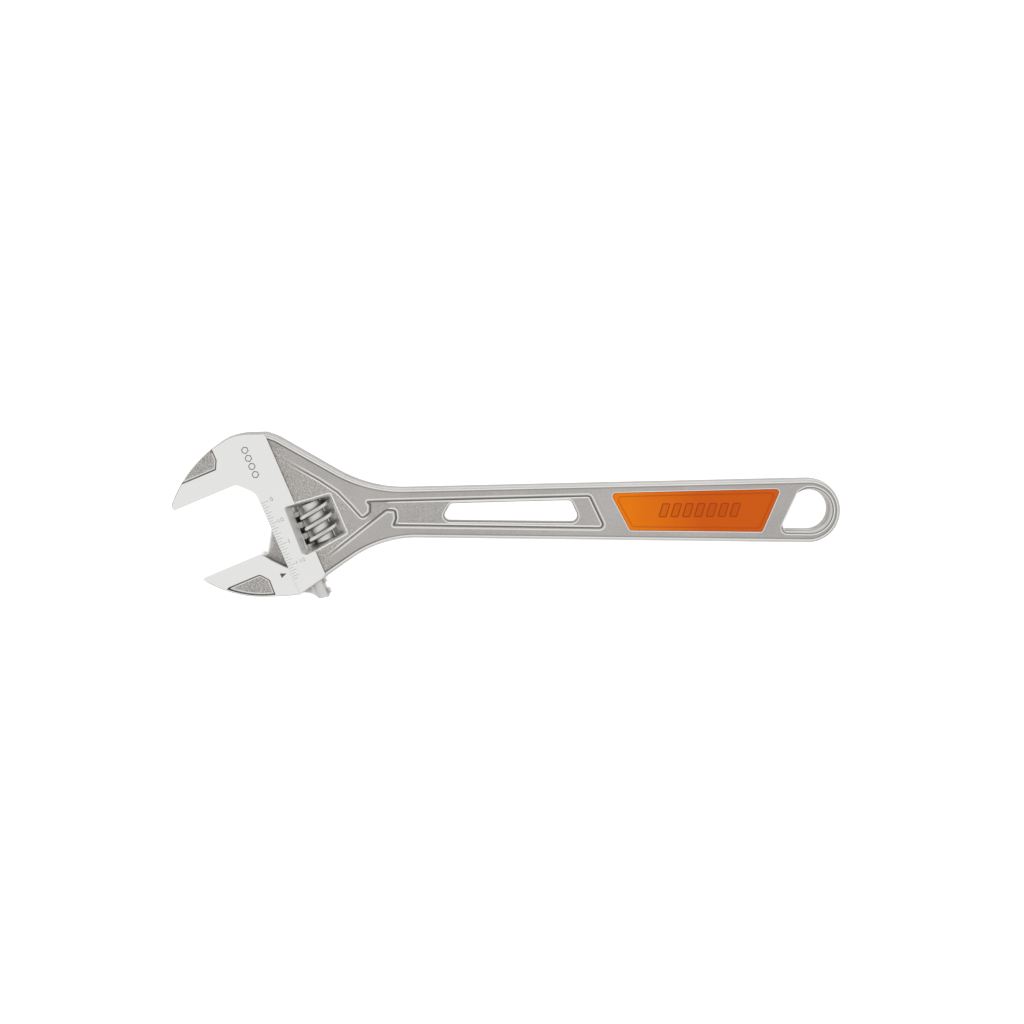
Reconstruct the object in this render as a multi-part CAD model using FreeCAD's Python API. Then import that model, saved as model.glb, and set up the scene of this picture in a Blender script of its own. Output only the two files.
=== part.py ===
"""Adjustable wrench of the 15 inch class, lying flat: one STEP file for each of its pieces.

Two drawing frames are used, both with the wrench's mid-plane at z = 0:
  handle frame (x, y)  x runs along the handle's middle line towards the hanging hole
  jaw frame (u, v)     the handle frame turned by JAW_ANGLE; the jaws' gripping faces run along u
                       and the movable jaw slides along v, towards the fixed jaw when v grows
When every piece is made, all are moved together so that the origin is the middle of the bottom
of the whole wrench's box, with +Z up.
"""

import FreeCAD, Part

import math
import os

# ---- driving dimensions, in millimetres and degrees ----
JAW_ANGLE = 22.5                # between the handle's middle line and the gripping faces
HEAD_HALF = 10.0                # half the thickness across the polished faces
BLEND_HALF = 9.1                # half the thickness just behind the polished band
HANDLE_HALF = 6.5               # half the thickness of the handle's edges
CHANNEL_HALF = 4.8              # half the thickness between the handle's sunk channels
BAND_U = -107.7                 # where the polished band ends and the sunk part begins

HANDLE_WAIST_X = -45.0          # narrowest place of the handle
HANDLE_WAIST = 14.5             # half the handle's width there
HANDLE_SLOPE = 0.01755          # growth of the half width for each millimetre towards the end
HANDLE_END_X = 186.65           # outermost point of the handle
HANDLE_END_R = 18.1             # rounding of the handle's end

FIXED_FACE_V = 73.5             # gripping face of the fixed jaw
OPENING_NOW = 41.0              # gap between the gripping faces as stored
JAW_TIP_U = -171.9              # both jaws end here
SEAT_U = -125.4                 # edge of the head that the movable jaw slides along
SEAT_GAP = 0.1                  # running gap between that edge and the jaw

WEB_HALF = 4.3                  # half the thickness of the web between jaw and rail
RAIL_U = -113.9                 # axis of the round rail with the rack
RAIL_R = 5.7
RAIL_LOW_V = -4.9
RAIL_TOP_V = 46.2
RACK_ROOT_U = -111.6            # flat bottom of the gaps between rack teeth
RACK_FIRST_GAP_V = -5.275       # middle of the lowest gap, which the rail's end cuts through
RACK_GAP = 3.4
RACK_GAPS = 8
RUNNING_GAP = 0.1               # all round the rail and the web
CHANNEL_TOP_V = 88.0            # blind end of the rail's channel

WORM_U = -100.65                # axis of the worm
WORM_LEAD = 6.65                # one turn of the worm moves the jaw by this much
WORM_LOW_V = 25.0
WORM_TOP_V = 48.2
WORM_R = 9.12                   # over the thread's crest
WORM_CORE_R = 5.35
THREAD_START_V = 26.31          # middle of the thread where it starts, at the back
THREAD_TURNS = 3
THREAD_ROOT_HALF = 1.25
THREAD_CREST_HALF = 0.95
THREAD_CHAMFER = 0.33
POCKET_R = 9.7                  # round pocket that the worm turns in
POCKET_END_GAP = 0.07
BACK_OPENING_HALF = 4.5         # half its width, where the pocket breaks through the sunk back

PIN_R = 2.5
PIN_GAP = 0.05                  # radial running clearance between pin and worm
PIN_TOP_V = 56.0
PIN_HEAD_R = 3.9
PIN_HEAD_LOW_V = 9.6
PIN_HEAD_TOP_V = 14.0
PIN_SLOT_WIDTH = 1.2
PIN_SLOT_DEPTH = 1.4

SPRING_WIRE_R = 0.42
SPRING_MEAN_R = 3.08
SPRING_TURNS = 3
SPRING_POCKET_R = 3.6
SPRING_POCKET_DEPTH = 6.0

JAW_POCKET_DEPTH = 1.3          # sunk grainy panels on the jaws
INLAY_RECESS_DEPTH = 2.0
INLAY_GAP = 0.1                 # round the inlay's edge
ADHESIVE = 0.15                 # thickness of the film under each inlay
INLAY_THICK = 1.75

OVER = 2.0                      # how far a cutting tool reaches past a surface
SIN = math.sin(math.radians(JAW_ANGLE))
COS = math.cos(math.radians(JAW_ANGLE))
ALONG_V = FreeCAD.Vector(-SIN, COS, 0)
MOVABLE_FACE_V = FIXED_FACE_V - OPENING_NOW
SEAT_JAW_U = SEAT_U - SEAT_GAP


# ---- drawing helpers ----
def jaw(u, v):
    """The handle-frame point of a jaw-frame point."""
    return (u * COS - v * SIN, u * SIN + v * COS)


def handle_half_width(x):
    return HANDLE_WAIST + HANDLE_SLOPE * (x - HANDLE_WAIST_X)


def jaw_frame_points(entries):
    """Turns outline entries given in the jaw frame into handle-frame ones."""
    turned = []
    for entry in entries:
        if entry[0] == "arc":
            turned.append(("arc", jaw(*entry[1]), jaw(*entry[2])))
        else:
            turned.append((*jaw(entry[0], entry[1]), *entry[2:]))
    return turned


def fillet(before, corner, after, radius):
    """The start, middle and end of the arc that rounds a corner."""
    towards_before = (before - corner).normalize()
    towards_after = (after - corner).normalize()
    half_angle = towards_before.getAngle(towards_after) / 2
    reach = radius / math.tan(half_angle)
    bisector = (towards_before + towards_after).normalize()
    middle = corner + bisector * (radius / math.sin(half_angle) - radius)
    return corner + towards_before * reach, middle, corner + towards_after * reach


def outline(entries):
    """A closed wire from (x, y), a corner; (x, y, radius), a rounded corner; and
    ("arc", through, end), an arc from the point before."""
    ends = []
    for entry in entries:
        point = entry[2] if entry[0] == "arc" else entry
        ends.append(FreeCAD.Vector(point[0], point[1], 0))
    edges = []
    first = None
    at = None
    for i, entry in enumerate(entries):
        corner = ends[i]
        if entry[0] == "arc":
            through = FreeCAD.Vector(*entry[1], 0)
            edges.append(Part.Arc(at, through, corner).toShape())
            at = corner
            continue
        arrive = corner
        middle = None
        leave = corner
        if len(entry) == 3:
            after = ends[(i + 1) % len(ends)]
            arrive, middle, leave = fillet(ends[i - 1], corner, after, entry[2])
        if first is None:
            first = arrive
        elif at.distanceToPoint(arrive) > 1e-6:
            edges.append(Part.LineSegment(at, arrive).toShape())
        if middle is not None:
            edges.append(Part.Arc(arrive, middle, leave).toShape())
        at = leave
    if at.distanceToPoint(first) > 1e-6:
        edges.append(Part.LineSegment(at, first).toShape())
    return Part.Wire(edges)


def plate(wire, low, high):
    """A flat outline made into a plate from z = low to z = high."""
    lowered = wire.copy()
    lowered.translate(FreeCAD.Vector(0, 0, low))
    return Part.Face(lowered).extrude(FreeCAD.Vector(0, 0, high - low))


def both_sides(solid):
    """The solid and its mirror image below the mid-plane."""
    mirrored = solid.mirror(FreeCAD.Vector(0, 0, 0), FreeCAD.Vector(0, 0, 1))
    return [solid, mirrored]


def along_v_cylinder(u, low_v, high_v, radius):
    """A round bar along v, at mid-thickness."""
    start = FreeCAD.Vector(*jaw(u, low_v), 0)
    return Part.makeCylinder(radius, high_v - low_v, start, ALONG_V)


def jaw_box(u_low, u_high, v_low, v_high, z_low, z_high):
    """A box with its sides along u and v."""
    corners = [(u_low, v_low), (u_high, v_low), (u_high, v_high), (u_low, v_high)]
    return plate(outline(jaw_frame_points(corners)), z_low, z_high)


def onto_worm_axis(shape):
    """Moves a shape made about the z axis onto the worm's axis: z to v and x to u."""
    turn = FreeCAD.Matrix(
        COS, 0, -SIN, WORM_U * COS,
        SIN, 0, COS, WORM_U * SIN,
        0, -1, 0, 0,
        0, 0, 0, 1,
    )
    shape.Placement = FreeCAD.Placement(turn).multiply(shape.Placement)
    return shape


# ---- body: fixed jaw, head and handle in one forging ----
def body_outline():
    end = HANDLE_END_X
    end_half = handle_half_width(end)
    fixed_jaw = jaw_frame_points([
        (SEAT_U, 65.0, 8.0),
        (-133.6, FIXED_FACE_V, 4.0),
        (JAW_TIP_U, FIXED_FACE_V, 1.6),
        (JAW_TIP_U, 77.2),
        ("arc", (-151.8, 92.3), (-128.0, 99.5)),
        ("arc", (-121.0, 98.8), (-114.0, 96.4)),
        (-107.3, 93.8, 8.0),
    ])
    neck_top = [(-128.3, 43.1, 12.0), (-77.9, handle_half_width(-77.9), 75.0)]
    handle_end = [(end, end_half, HANDLE_END_R), (end, -end_half, HANDLE_END_R)]
    neck_low = [(-70.7, -handle_half_width(-70.7), 62.0)]
    low_corner = [jaw(SEAT_U, 2.6)]
    return outline(low_corner + fixed_jaw + neck_top + handle_end + neck_low)


def side_profile(levels):
    """A slab symmetric about z = 0 whose half thickness along u follows (u, half) levels."""
    upper = []
    lower = []
    for u, half in levels:
        upper.append(FreeCAD.Vector(*jaw(u, -200), half))
        lower.append(FreeCAD.Vector(*jaw(u, -200), -half))
    corners = upper + lower[::-1]
    return Part.Face(Part.makePolygon(corners + corners[:1])).extrude(ALONG_V * 400)


def flange_levels():
    return [
        (-230.0, HEAD_HALF), (BAND_U, HEAD_HALF), (BAND_U, BLEND_HALF), (-98.0, 8.9),
        (-80.0, 7.9), (-62.0, 6.9), (-48.0, HANDLE_HALF), (260.0, HANDLE_HALF),
    ]


def channel_levels():
    return [
        (-230.0, HEAD_HALF), (BAND_U, HEAD_HALF), (BAND_U, BLEND_HALF), (-98.0, 8.7),
        (-80.0, 6.7), (-62.0, 5.2), (-48.0, CHANNEL_HALF), (260.0, CHANNEL_HALF),
    ]


def channel_outline():
    """The sunk channel: from the head, between the two hooked flanges, to its slanted end."""
    return outline([
        (-135.0, 36.8), (-105.0, 19.2), (-95.0, 12.4), (-88.0, 5.0), (-81.6, -2.4, 1.6),
        (-77.8, 0.8, 1.5), (-77.6, 4.6, 0.8), (-79.6, 6.9, 0.6), (-75.0, 7.1, 1.0),
        (46.0, 9.5, 2.5), (55.0, -9.6, 2.5), (-64.8, -7.2, 0.7), (-63.2, -3.0, 1.0),
        (-63.6, 1.1, 1.2), (-68.2, 1.4, 2.0), (-118.2, -37.6),
    ])


def slot_outline():
    return outline([(-32.4, 5.0, 3.0), (35.3, 6.4, 3.0), (40.9, -5.9, 3.5), (-38.0, -4.6, 3.0)])


def hanging_hole():
    """The upper half of the hole, which slopes in from its mouth in the face to mid-thickness."""
    narrow = outline([
        (152.75, -10.4, 2.4), (169.4, -10.5), ("arc", (179.4, 0.4), (169.4, 11.7)),
        ("arc", (166.6, 11.5), (164.7, 11.0)), (162.3, 10.0, 1.2),
    ])
    sections = [narrow]
    for height in (HANDLE_HALF, HANDLE_HALF + OVER):
        mouth = outline([
            (151.2, -12.8, 3.5), (169.2, -13.2), ("arc", (182.6, 0.2), (169.2, 13.6)),
            ("arc", (166.5, 13.3), (164.5, 12.4)), (162.4, 11.0, 1.5),
        ])
        mouth.translate(FreeCAD.Vector(0, 0, height))
        sections.append(mouth)
    return Part.makeLoft(sections, True, True)


def inlay_outline(inset):
    """The inlay panel, drawn in by inset on every side."""
    return outline([
        (57.3 + 1.5 * inset, 10.65 - inset, 2.0),
        (152.7 - 1.5 * inset, 12.45 - inset, 1.8),
        (142.45 - 0.7 * inset, -11.6 + inset, 1.6),
        (68.4 + 0.7 * inset, -10.45 + inset, 1.6),
    ])


def fixed_jaw_pocket():
    entries = jaw_frame_points([
        (-161.6, 85.4, 0.6), (-140.6, 85.4, 0.9), (-138.1, 90.3, 1.5), (-138.1, 112.0),
        (-175.0, 112.0),
    ])
    return plate(outline(entries), HEAD_HALF - JAW_POCKET_DEPTH, HEAD_HALF + OVER)


def worm_window():
    """The round pocket of the worm, its flared front and its narrow opening at the back."""
    low = WORM_LOW_V - POCKET_END_GAP
    top = WORM_TOP_V + POCKET_END_GAP
    pocket = along_v_cylinder(WORM_U, low, top, POCKET_R)
    waist = [(-108.6, low), (-91.2, low), (-91.2, top), (-108.6, top)]
    mouth = [(-115.4, 21.7), (-87.8, 24.6), (-87.8, 48.5), (-114.2, 51.6)]
    inner = outline(jaw_frame_points(waist))
    outer = outline(jaw_frame_points(mouth))
    outer.translate(FreeCAD.Vector(0, 0, HEAD_HALF))
    flare = Part.makeLoft([inner, outer], True, True)
    back = jaw_box(
        WORM_U - BACK_OPENING_HALF, WORM_U + BACK_OPENING_HALF, low, top, -HEAD_HALF - OVER, 0,
    )
    return [pocket, flare, back]


def body():
    forging = plate(body_outline(), -HEAD_HALF, HEAD_HALF).common(side_profile(flange_levels()))
    ground = plate(channel_outline(), -HEAD_HALF - OVER, HEAD_HALF + OVER)
    forging = forging.cut(ground.cut(side_profile(channel_levels())))

    tools = [plate(slot_outline(), -HEAD_HALF, HEAD_HALF)]
    tools += both_sides(hanging_hole())
    tools += both_sides(plate(inlay_outline(0), HANDLE_HALF - INLAY_RECESS_DEPTH, HEAD_HALF))
    tools += both_sides(fixed_jaw_pocket())
    tools += worm_window()

    tools.append(along_v_cylinder(RAIL_U, -40.0, CHANNEL_TOP_V, RAIL_R + RUNNING_GAP))
    slot = jaw_frame_points([
        (-142.0, -40.0), (RAIL_U, -40.0), (RAIL_U, CHANNEL_TOP_V), (-122.5, CHANNEL_TOP_V),
        (-126.0, 86.9), (-136.0, 72.6), (-142.0, 72.0),
    ])
    web_half = WEB_HALF + RUNNING_GAP
    tools.append(plate(outline(slot), -web_half, web_half))

    tools.append(along_v_cylinder(WORM_U, 0, PIN_TOP_V + PIN_GAP, PIN_R + PIN_GAP))
    tools.append(along_v_cylinder(WORM_U, 0, PIN_HEAD_TOP_V, PIN_HEAD_R + PIN_GAP))
    for tool in tools:
        forging = forging.cut(tool)
    return forging


# ---- movable jaw: jaw, web and rail with the rack in one forging ----
def jaw_block():
    entries = jaw_frame_points([
        (SEAT_JAW_U, 2.85), (SEAT_JAW_U, 19.3), (-135.3, 30.6), (-138.0, MOVABLE_FACE_V),
        (JAW_TIP_U, MOVABLE_FACE_V, 0.8), (JAW_TIP_U, 30.9),
        ("arc", (-163.3, 21.3), (-150.0, 12.0)), ("arc", (-138.0, 6.95), (SEAT_JAW_U, 2.85)),
    ])
    return plate(outline(entries), -HEAD_HALF, HEAD_HALF)


def web():
    entries = jaw_frame_points([
        (-140.0, 25.0), (-135.6, 31.0), (-133.2, 31.9), (SEAT_U, 44.4), (-122.0, RAIL_TOP_V),
        (RAIL_U, RAIL_TOP_V), (RAIL_U, -4.4), (-117.2, -3.6), (-119.6, -0.2), (-122.8, 1.7),
        (-128.0, 5.0), (-138.0, 12.0),
    ])
    return plate(outline(entries), -WEB_HALF, WEB_HALF)


def rail_end_trim():
    """What is cut off the rail's lower end, along the line of the web's lower edge."""
    entries = jaw_frame_points([
        (-130.0, 5.9), (-122.8, 1.7), (-119.6, -0.2), (-117.2, -3.6), (-112.0, RAIL_LOW_V),
        (-112.0, -20.0), (-130.0, -20.0),
    ])
    return plate(outline(entries), -HEAD_HALF, HEAD_HALF)


def rail():
    bar = along_v_cylinder(RAIL_U, RAIL_LOW_V, RAIL_TOP_V, RAIL_R)
    tilt = math.degrees(math.atan(WORM_LEAD / (2 * math.pi * WORM_R)))
    reach = RAIL_R + OVER
    along_u = FreeCAD.Vector(COS, SIN, 0)
    for i in range(RACK_GAPS):
        middle = RACK_FIRST_GAP_V + i * WORM_LEAD
        gap = jaw_box(
            RACK_ROOT_U, RAIL_U + reach, middle - RACK_GAP / 2, middle + RACK_GAP / 2, -reach, reach
        )
        gap.rotate(FreeCAD.Vector(*jaw(RAIL_U, middle), 0), along_u, -tilt)
        bar = bar.cut(gap)
    return bar.cut(rail_end_trim())


def movable_jaw_pocket():
    entries = jaw_frame_points([
        (-160.4, 22.2, 0.8), (-141.6, 22.2, 2.5), (-137.6, 17.2, 2.0), (-138.0, 8.2),
        ("arc", (-150.0, 13.0), (-162.0, 21.6)),
    ])
    return plate(outline(entries), HEAD_HALF - JAW_POCKET_DEPTH, HEAD_HALF + OVER)


def movable_jaw():
    jaw_solid = jaw_block().fuse([web(), rail()])
    for tool in both_sides(movable_jaw_pocket()):
        jaw_solid = jaw_solid.cut(tool)
    return jaw_solid.removeSplitter()


# ---- worm, its pin and its spring ----
def worm():
    length = WORM_TOP_V - WORM_LOW_V
    core = Part.makeCylinder(WORM_CORE_R, length, FreeCAD.Vector(0, 0, WORM_LOW_V))
    chamfer_r = WORM_R - THREAD_CHAMFER
    tip_half = THREAD_CREST_HALF - THREAD_CHAMFER
    inside = WORM_CORE_R - 0.5
    corners = [
        (inside, -THREAD_ROOT_HALF), (chamfer_r, -THREAD_CREST_HALF), (WORM_R, -tip_half),
        (WORM_R, tip_half), (chamfer_r, THREAD_CREST_HALF), (inside, THREAD_ROOT_HALF),
    ]
    profile = [FreeCAD.Vector(r, 0, z) for r, z in corners]
    path = Part.Wire(Part.makeHelix(WORM_LEAD, THREAD_TURNS * WORM_LEAD, WORM_R).Edges)
    thread = path.makePipeShell([Part.makePolygon(profile + profile[:1])], True, True)
    thread.rotate(FreeCAD.Vector(0, 0, 0), FreeCAD.Vector(0, 0, 1), 90)
    thread.translate(FreeCAD.Vector(0, 0, THREAD_START_V))
    solid = core.fuse(thread)
    solid = solid.cut(Part.makeCylinder(PIN_R + PIN_GAP, 100))
    pocket_floor = FreeCAD.Vector(0, 0, WORM_TOP_V - SPRING_POCKET_DEPTH)
    solid = solid.cut(Part.makeCylinder(SPRING_POCKET_R, 100, pocket_floor))
    return onto_worm_axis(solid)


def worm_pin():
    shank = along_v_cylinder(WORM_U, PIN_HEAD_LOW_V, PIN_TOP_V, PIN_R)
    head = along_v_cylinder(WORM_U, PIN_HEAD_LOW_V, PIN_HEAD_TOP_V - PIN_GAP, PIN_HEAD_R)
    slot = jaw_box(
        WORM_U - PIN_SLOT_WIDTH / 2, WORM_U + PIN_SLOT_WIDTH / 2, PIN_HEAD_LOW_V - OVER,
        PIN_HEAD_LOW_V + PIN_SLOT_DEPTH, -PIN_HEAD_R - OVER, PIN_HEAD_R + OVER,
    )
    return shank.fuse(head).removeSplitter().cut(slot)


def worm_spring():
    height = SPRING_POCKET_DEPTH - 2 * SPRING_WIRE_R - 0.1
    helix = Part.makeHelix(height / SPRING_TURNS, height, SPRING_MEAN_R)
    wire = Part.makeCircle(SPRING_WIRE_R, FreeCAD.Vector(SPRING_MEAN_R, 0, 0), FreeCAD.Vector(0, 1, 0))
    spring = Part.Wire(helix.Edges).makePipeShell([Part.Wire(wire)], True, True)
    start = WORM_TOP_V - SPRING_POCKET_DEPTH + SPRING_WIRE_R + 0.05
    spring.translate(FreeCAD.Vector(0, 0, start))
    return onto_worm_axis(spring)


# ---- handle inlays and the adhesive films that hold them ----
def inlay_film():
    floor = HANDLE_HALF - INLAY_RECESS_DEPTH
    return plate(inlay_outline(INLAY_GAP), floor, floor + ADHESIVE)


def inlay():
    floor = HANDLE_HALF - INLAY_RECESS_DEPTH + ADHESIVE
    return plate(inlay_outline(INLAY_GAP), floor, floor + INLAY_THICK)


def pieces():
    front_inlay, rear_inlay = both_sides(inlay())
    front_film, rear_film = both_sides(inlay_film())
    return {
        "body": body(),
        "movable_jaw": movable_jaw(),
        "worm": worm(),
        "worm_pin": worm_pin(),
        "worm_spring": worm_spring(),
        "front_inlay": front_inlay,
        "rear_inlay": rear_inlay,
        "front_inlay_adhesive": front_film,
        "rear_inlay_adhesive": rear_film,
    }


def main():
    os.makedirs("parts", exist_ok=True)
    solids = pieces()
    whole = solids["body"].optimalBoundingBox(False, False)
    whole.add(solids["movable_jaw"].optimalBoundingBox(False, False))
    shift = FreeCAD.Vector(-whole.Center.x, -whole.Center.y, HEAD_HALF)
    print("shift", shift.x, shift.y, shift.z)
    for name, solid in solids.items():
        solid.translate(shift)
        print(name, len(solid.Solids), solid.isValid(), round(solid.Volume, 1))
        solid.exportStep(os.path.join("parts", name + ".step"))


main()
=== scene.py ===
import math

import bpy
import numpy as np
from mathutils import Matrix, Vector
from mathutils.geometry import delaunay_2d_cdt


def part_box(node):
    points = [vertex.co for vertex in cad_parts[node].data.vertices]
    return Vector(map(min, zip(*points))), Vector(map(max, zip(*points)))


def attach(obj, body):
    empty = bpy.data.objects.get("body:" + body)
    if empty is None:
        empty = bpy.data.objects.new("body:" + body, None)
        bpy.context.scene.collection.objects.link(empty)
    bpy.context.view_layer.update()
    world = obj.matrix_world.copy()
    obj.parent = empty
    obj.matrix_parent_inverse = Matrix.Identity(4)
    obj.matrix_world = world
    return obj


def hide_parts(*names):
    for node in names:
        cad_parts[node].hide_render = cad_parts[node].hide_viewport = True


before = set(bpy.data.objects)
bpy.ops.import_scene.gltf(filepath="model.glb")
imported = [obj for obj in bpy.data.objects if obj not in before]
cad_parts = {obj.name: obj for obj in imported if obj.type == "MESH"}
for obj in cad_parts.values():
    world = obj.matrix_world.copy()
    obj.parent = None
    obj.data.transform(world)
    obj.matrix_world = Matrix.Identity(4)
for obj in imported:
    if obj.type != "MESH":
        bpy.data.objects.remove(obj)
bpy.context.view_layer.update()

# Adjustable wrench of the 15 inch class: what is seen of it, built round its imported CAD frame.
# Lengths are in millimetres until a mesh is made. Two drawing frames lie in the wrench's mid-plane:
#   handle frame (x, y)  x runs along the handle's middle line towards the hanging hole
#   jaw frame (u, v)     turned by JAW_ANGLE; gripping faces run along u, the jaw slides along v

bl_info = {
    "name": "Adjustable Wrench",
    "version": (1, 0, 0),
    "blender": (4, 5, 0),
    "location": "3D View > Sidebar > Wrench",
    "description": "Builds the forged, machined and moulded pieces of an adjustable wrench",
    "category": "Add Mesh",
}

# ---- sizes shared with the CAD frame ----
JAW_ANGLE = 22.5
HEAD_HALF = 10.0
BLEND_HALF = 9.1
HANDLE_HALF = 6.5
CHANNEL_HALF = 4.8
BAND_U = -107.7                 # the polished band ends here
HANDLE_WAIST_X = -45.0
HANDLE_WAIST = 14.5
HANDLE_SLOPE = 0.01755
HANDLE_END_X = 186.65
HANDLE_END_R = 18.1
FIXED_FACE_V = 73.5
MOVABLE_FACE_V = 32.5
JAW_TIP_U = -171.9
SEAT_U = -125.4                 # machined edge that the movable jaw slides along
SEAT_GAP = 0.1
WEB_HALF = 4.3
RAIL_U = -113.9
RAIL_R = 5.7
RAIL_LOW_V = -4.9
RAIL_TOP_V = 46.2
RACK_ROOT_U = -111.6
RACK_FIRST_GAP_V = -5.275
RACK_GAP = 3.4
RACK_GAPS = 8
RUNNING_GAP = 0.1
CHANNEL_TOP_V = 88.0
WORM_U = -100.65
WORM_LEAD = 6.65
WORM_LOW_V = 25.0
WORM_TOP_V = 48.2
WORM_R = 9.12
WORM_CORE_R = 5.35
THREAD_START_V = 26.31
THREAD_TURNS = 3
POCKET_END_GAP = 0.07
PIN_R = 2.5
PIN_GAP = 0.05
PIN_TOP_V = 56.0
PIN_HEAD_R = 3.9
PIN_HEAD_TOP_V = 14.0
SPRING_POCKET_R = 3.6
SPRING_POCKET_DEPTH = 6.0
INLAY_RECESS_DEPTH = 2.0
INLAY_GAP = 0.1
ADHESIVE = 0.15
INLAY_THICK = 1.75
SEAT_JAW_U = SEAT_U - SEAT_GAP / 2
SIN = math.sin(math.radians(JAW_ANGLE))
COS = math.cos(math.radians(JAW_ANGLE))

# ---- sizes that only the looks have ----
LINE_STEP = 2.2                 # longest straight piece of a traced outline
NET_STEP = 2.6                  # spacing of the net between outlines
CHANNEL_WALL = (-0.7, 1.5)      # the channel's wall begins and ends this far inside its outline
POCKET_RINGS = (-0.02, 0.02, 0.12, 0.28, 0.5, 0.8, 1.05, 1.3, 1.6)
POCKET_WALL = 1.3               # width of a jaw pocket's wall and fillet
RIM_WIDTH = 2.3                 # raised rim along the forged outer edges
RIM_WALL = 0.5
PARTING_HALF = 0.6              # half the height of the land left by the forging dies
POCKET_R = 9.3                  # tighter than the CAD frame's, so that the core hides the back opening
BACK_OPENING_HALF = 4.2         # half its width, where the pocket breaks through the sunk back
LIP = 0.35                      # rounding of the worm window's mouth
HOLE_STEP = 0.93                # the hanging hole's rounded wall ends at this share of the face's height
MARK_TOP = HEAD_HALF - 0.005    # marks stay under the CAD box
POLISHED_HALF = HEAD_HALF - 0.03
MARK_FOOT = POLISHED_HALF - 0.06  # marks reach this far down into the steel
TICK_START = 0.35               # a scale line's near end, from the seat
TICK_HALF = 0.11                # half its width
FORGED_BULGE = 0.28             # how far a forged flank goes out to the dies' parting line
HOLE_BULGE = 0.2                # how far a hole's wall goes in to it
TICK_PITCH = 25.4 / 16
TICKS = 30
ZERO_TICK_V = 58.4
SERRATIONS = 72                 # knurl teeth in one turn of the worm


# ---- drawing ----
def jaw(u, v):
    """The handle-frame point of a jaw-frame point."""
    return (u * COS - v * SIN, u * SIN + v * COS)


def jaw_frame(points):
    """u and v of handle-frame points: x and y turned back by the jaw angle."""
    return points[:, 0] * COS + points[:, 1] * SIN, points[:, 1] * COS - points[:, 0] * SIN


def handle_half_width(x):
    return HANDLE_WAIST + HANDLE_SLOPE * (x - HANDLE_WAIST_X)


def in_jaw_frame(entries):
    """Outline entries given in the jaw frame, as handle-frame ones."""
    turned = []
    for entry in entries:
        if entry[0] == "arc":
            turned.append(("arc", jaw(*entry[1]), jaw(*entry[2])))
        else:
            turned.append((*jaw(entry[0], entry[1]), *entry[2:]))
    return turned


def straight(start, end, step):
    """Points from start up to, but without, end: start plus equal shares of the way."""
    count = max(1, math.ceil(np.linalg.norm(end - start) / step))
    return start + (end - start) * (np.arange(count) / count)[:, None]


def arc(start, through, end, step):
    """Points on the circle through three points, from start up to, but without, end. The centre is
    the crossing of the chords' middle normals, and the angle grows by equal shares of the sweep."""
    first = through - start
    second = end - start
    doubled_area = 2 * (first[0] * second[1] - first[1] * second[0])
    first_sq = first @ first
    second_sq = second @ second
    across = second[1] * first_sq - first[1] * second_sq
    up = first[0] * second_sq - second[0] * first_sq
    centre = start + np.array([across, up]) / doubled_area
    radius = np.linalg.norm(start - centre)
    angle = math.atan2(*(start - centre)[::-1])
    last = math.atan2(*(end - centre)[::-1])
    turn = math.copysign(1, doubled_area)
    sweep = turn * ((turn * (last - angle)) % (2 * math.pi))
    count = max(3, math.ceil(abs(sweep) * radius / step), math.ceil(abs(sweep) / math.radians(11)))
    angles = angle + sweep * np.arange(count) / count
    return centre + radius * np.stack([np.cos(angles), np.sin(angles)], 1)


def fillet(before, corner, after, radius):
    """The start, middle and end of the arc that rounds a corner."""
    towards_before = (before - corner) / np.linalg.norm(before - corner)
    towards_after = (after - corner) / np.linalg.norm(after - corner)
    half_angle = math.acos(np.clip(towards_before @ towards_after, -1, 1)) / 2
    reach = radius / math.tan(half_angle)
    bisector = towards_before + towards_after
    bisector /= np.linalg.norm(bisector)
    middle = corner + bisector * (radius / math.sin(half_angle) - radius)
    return corner + towards_before * reach, middle, corner + towards_after * reach


def trace(entries, step=LINE_STEP):
    """A closed counter-clockwise loop from (x, y), a corner; (x, y, radius), a rounded corner; and
    ("arc", through, end), an arc from the point before."""
    ends = [np.array(entry[2] if entry[0] == "arc" else entry[:2], float) for entry in entries]
    stretches = []
    first = None
    at = None
    for i, entry in enumerate(entries):
        if entry[0] == "arc":
            stretches.append(arc(at, np.array(entry[1]), ends[i], step))
            at = ends[i]
            continue
        arrive = leave = ends[i]
        middle = None
        if len(entry) == 3:
            arrive, middle, leave = fillet(ends[i - 1], ends[i], ends[(i + 1) % len(ends)], entry[2])
        if first is None:
            first = arrive
        elif np.linalg.norm(arrive - at) > 1e-6:
            stretches.append(straight(at, arrive, step))
        if middle is not None:
            stretches.append(arc(arrive, middle, leave, step))
        at = leave
    if np.linalg.norm(first - at) > 1e-6:
        stretches.append(straight(at, first, step))
    loop = np.concatenate(stretches)
    following = np.roll(loop, -1, 0)
    area = (loop[:, 0] * following[:, 1] - loop[:, 1] * following[:, 0]).sum()
    return loop if area > 0 else loop[::-1]


def outward(loop):
    """Outward direction at each point of a counter-clockwise loop: the two neighbouring edges'
    normals added, lengthened so that both edges move out by one."""
    edge = np.roll(loop, -1, 0) - loop
    normal = np.stack([edge[:, 1], -edge[:, 0]], 1)
    normal /= np.linalg.norm(normal, axis=1)[:, None]
    before = np.roll(normal, 1, 0)
    share = 1 + (normal * before).sum(1)
    return (normal + before) / np.maximum(share, 0.5)[:, None]


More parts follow.
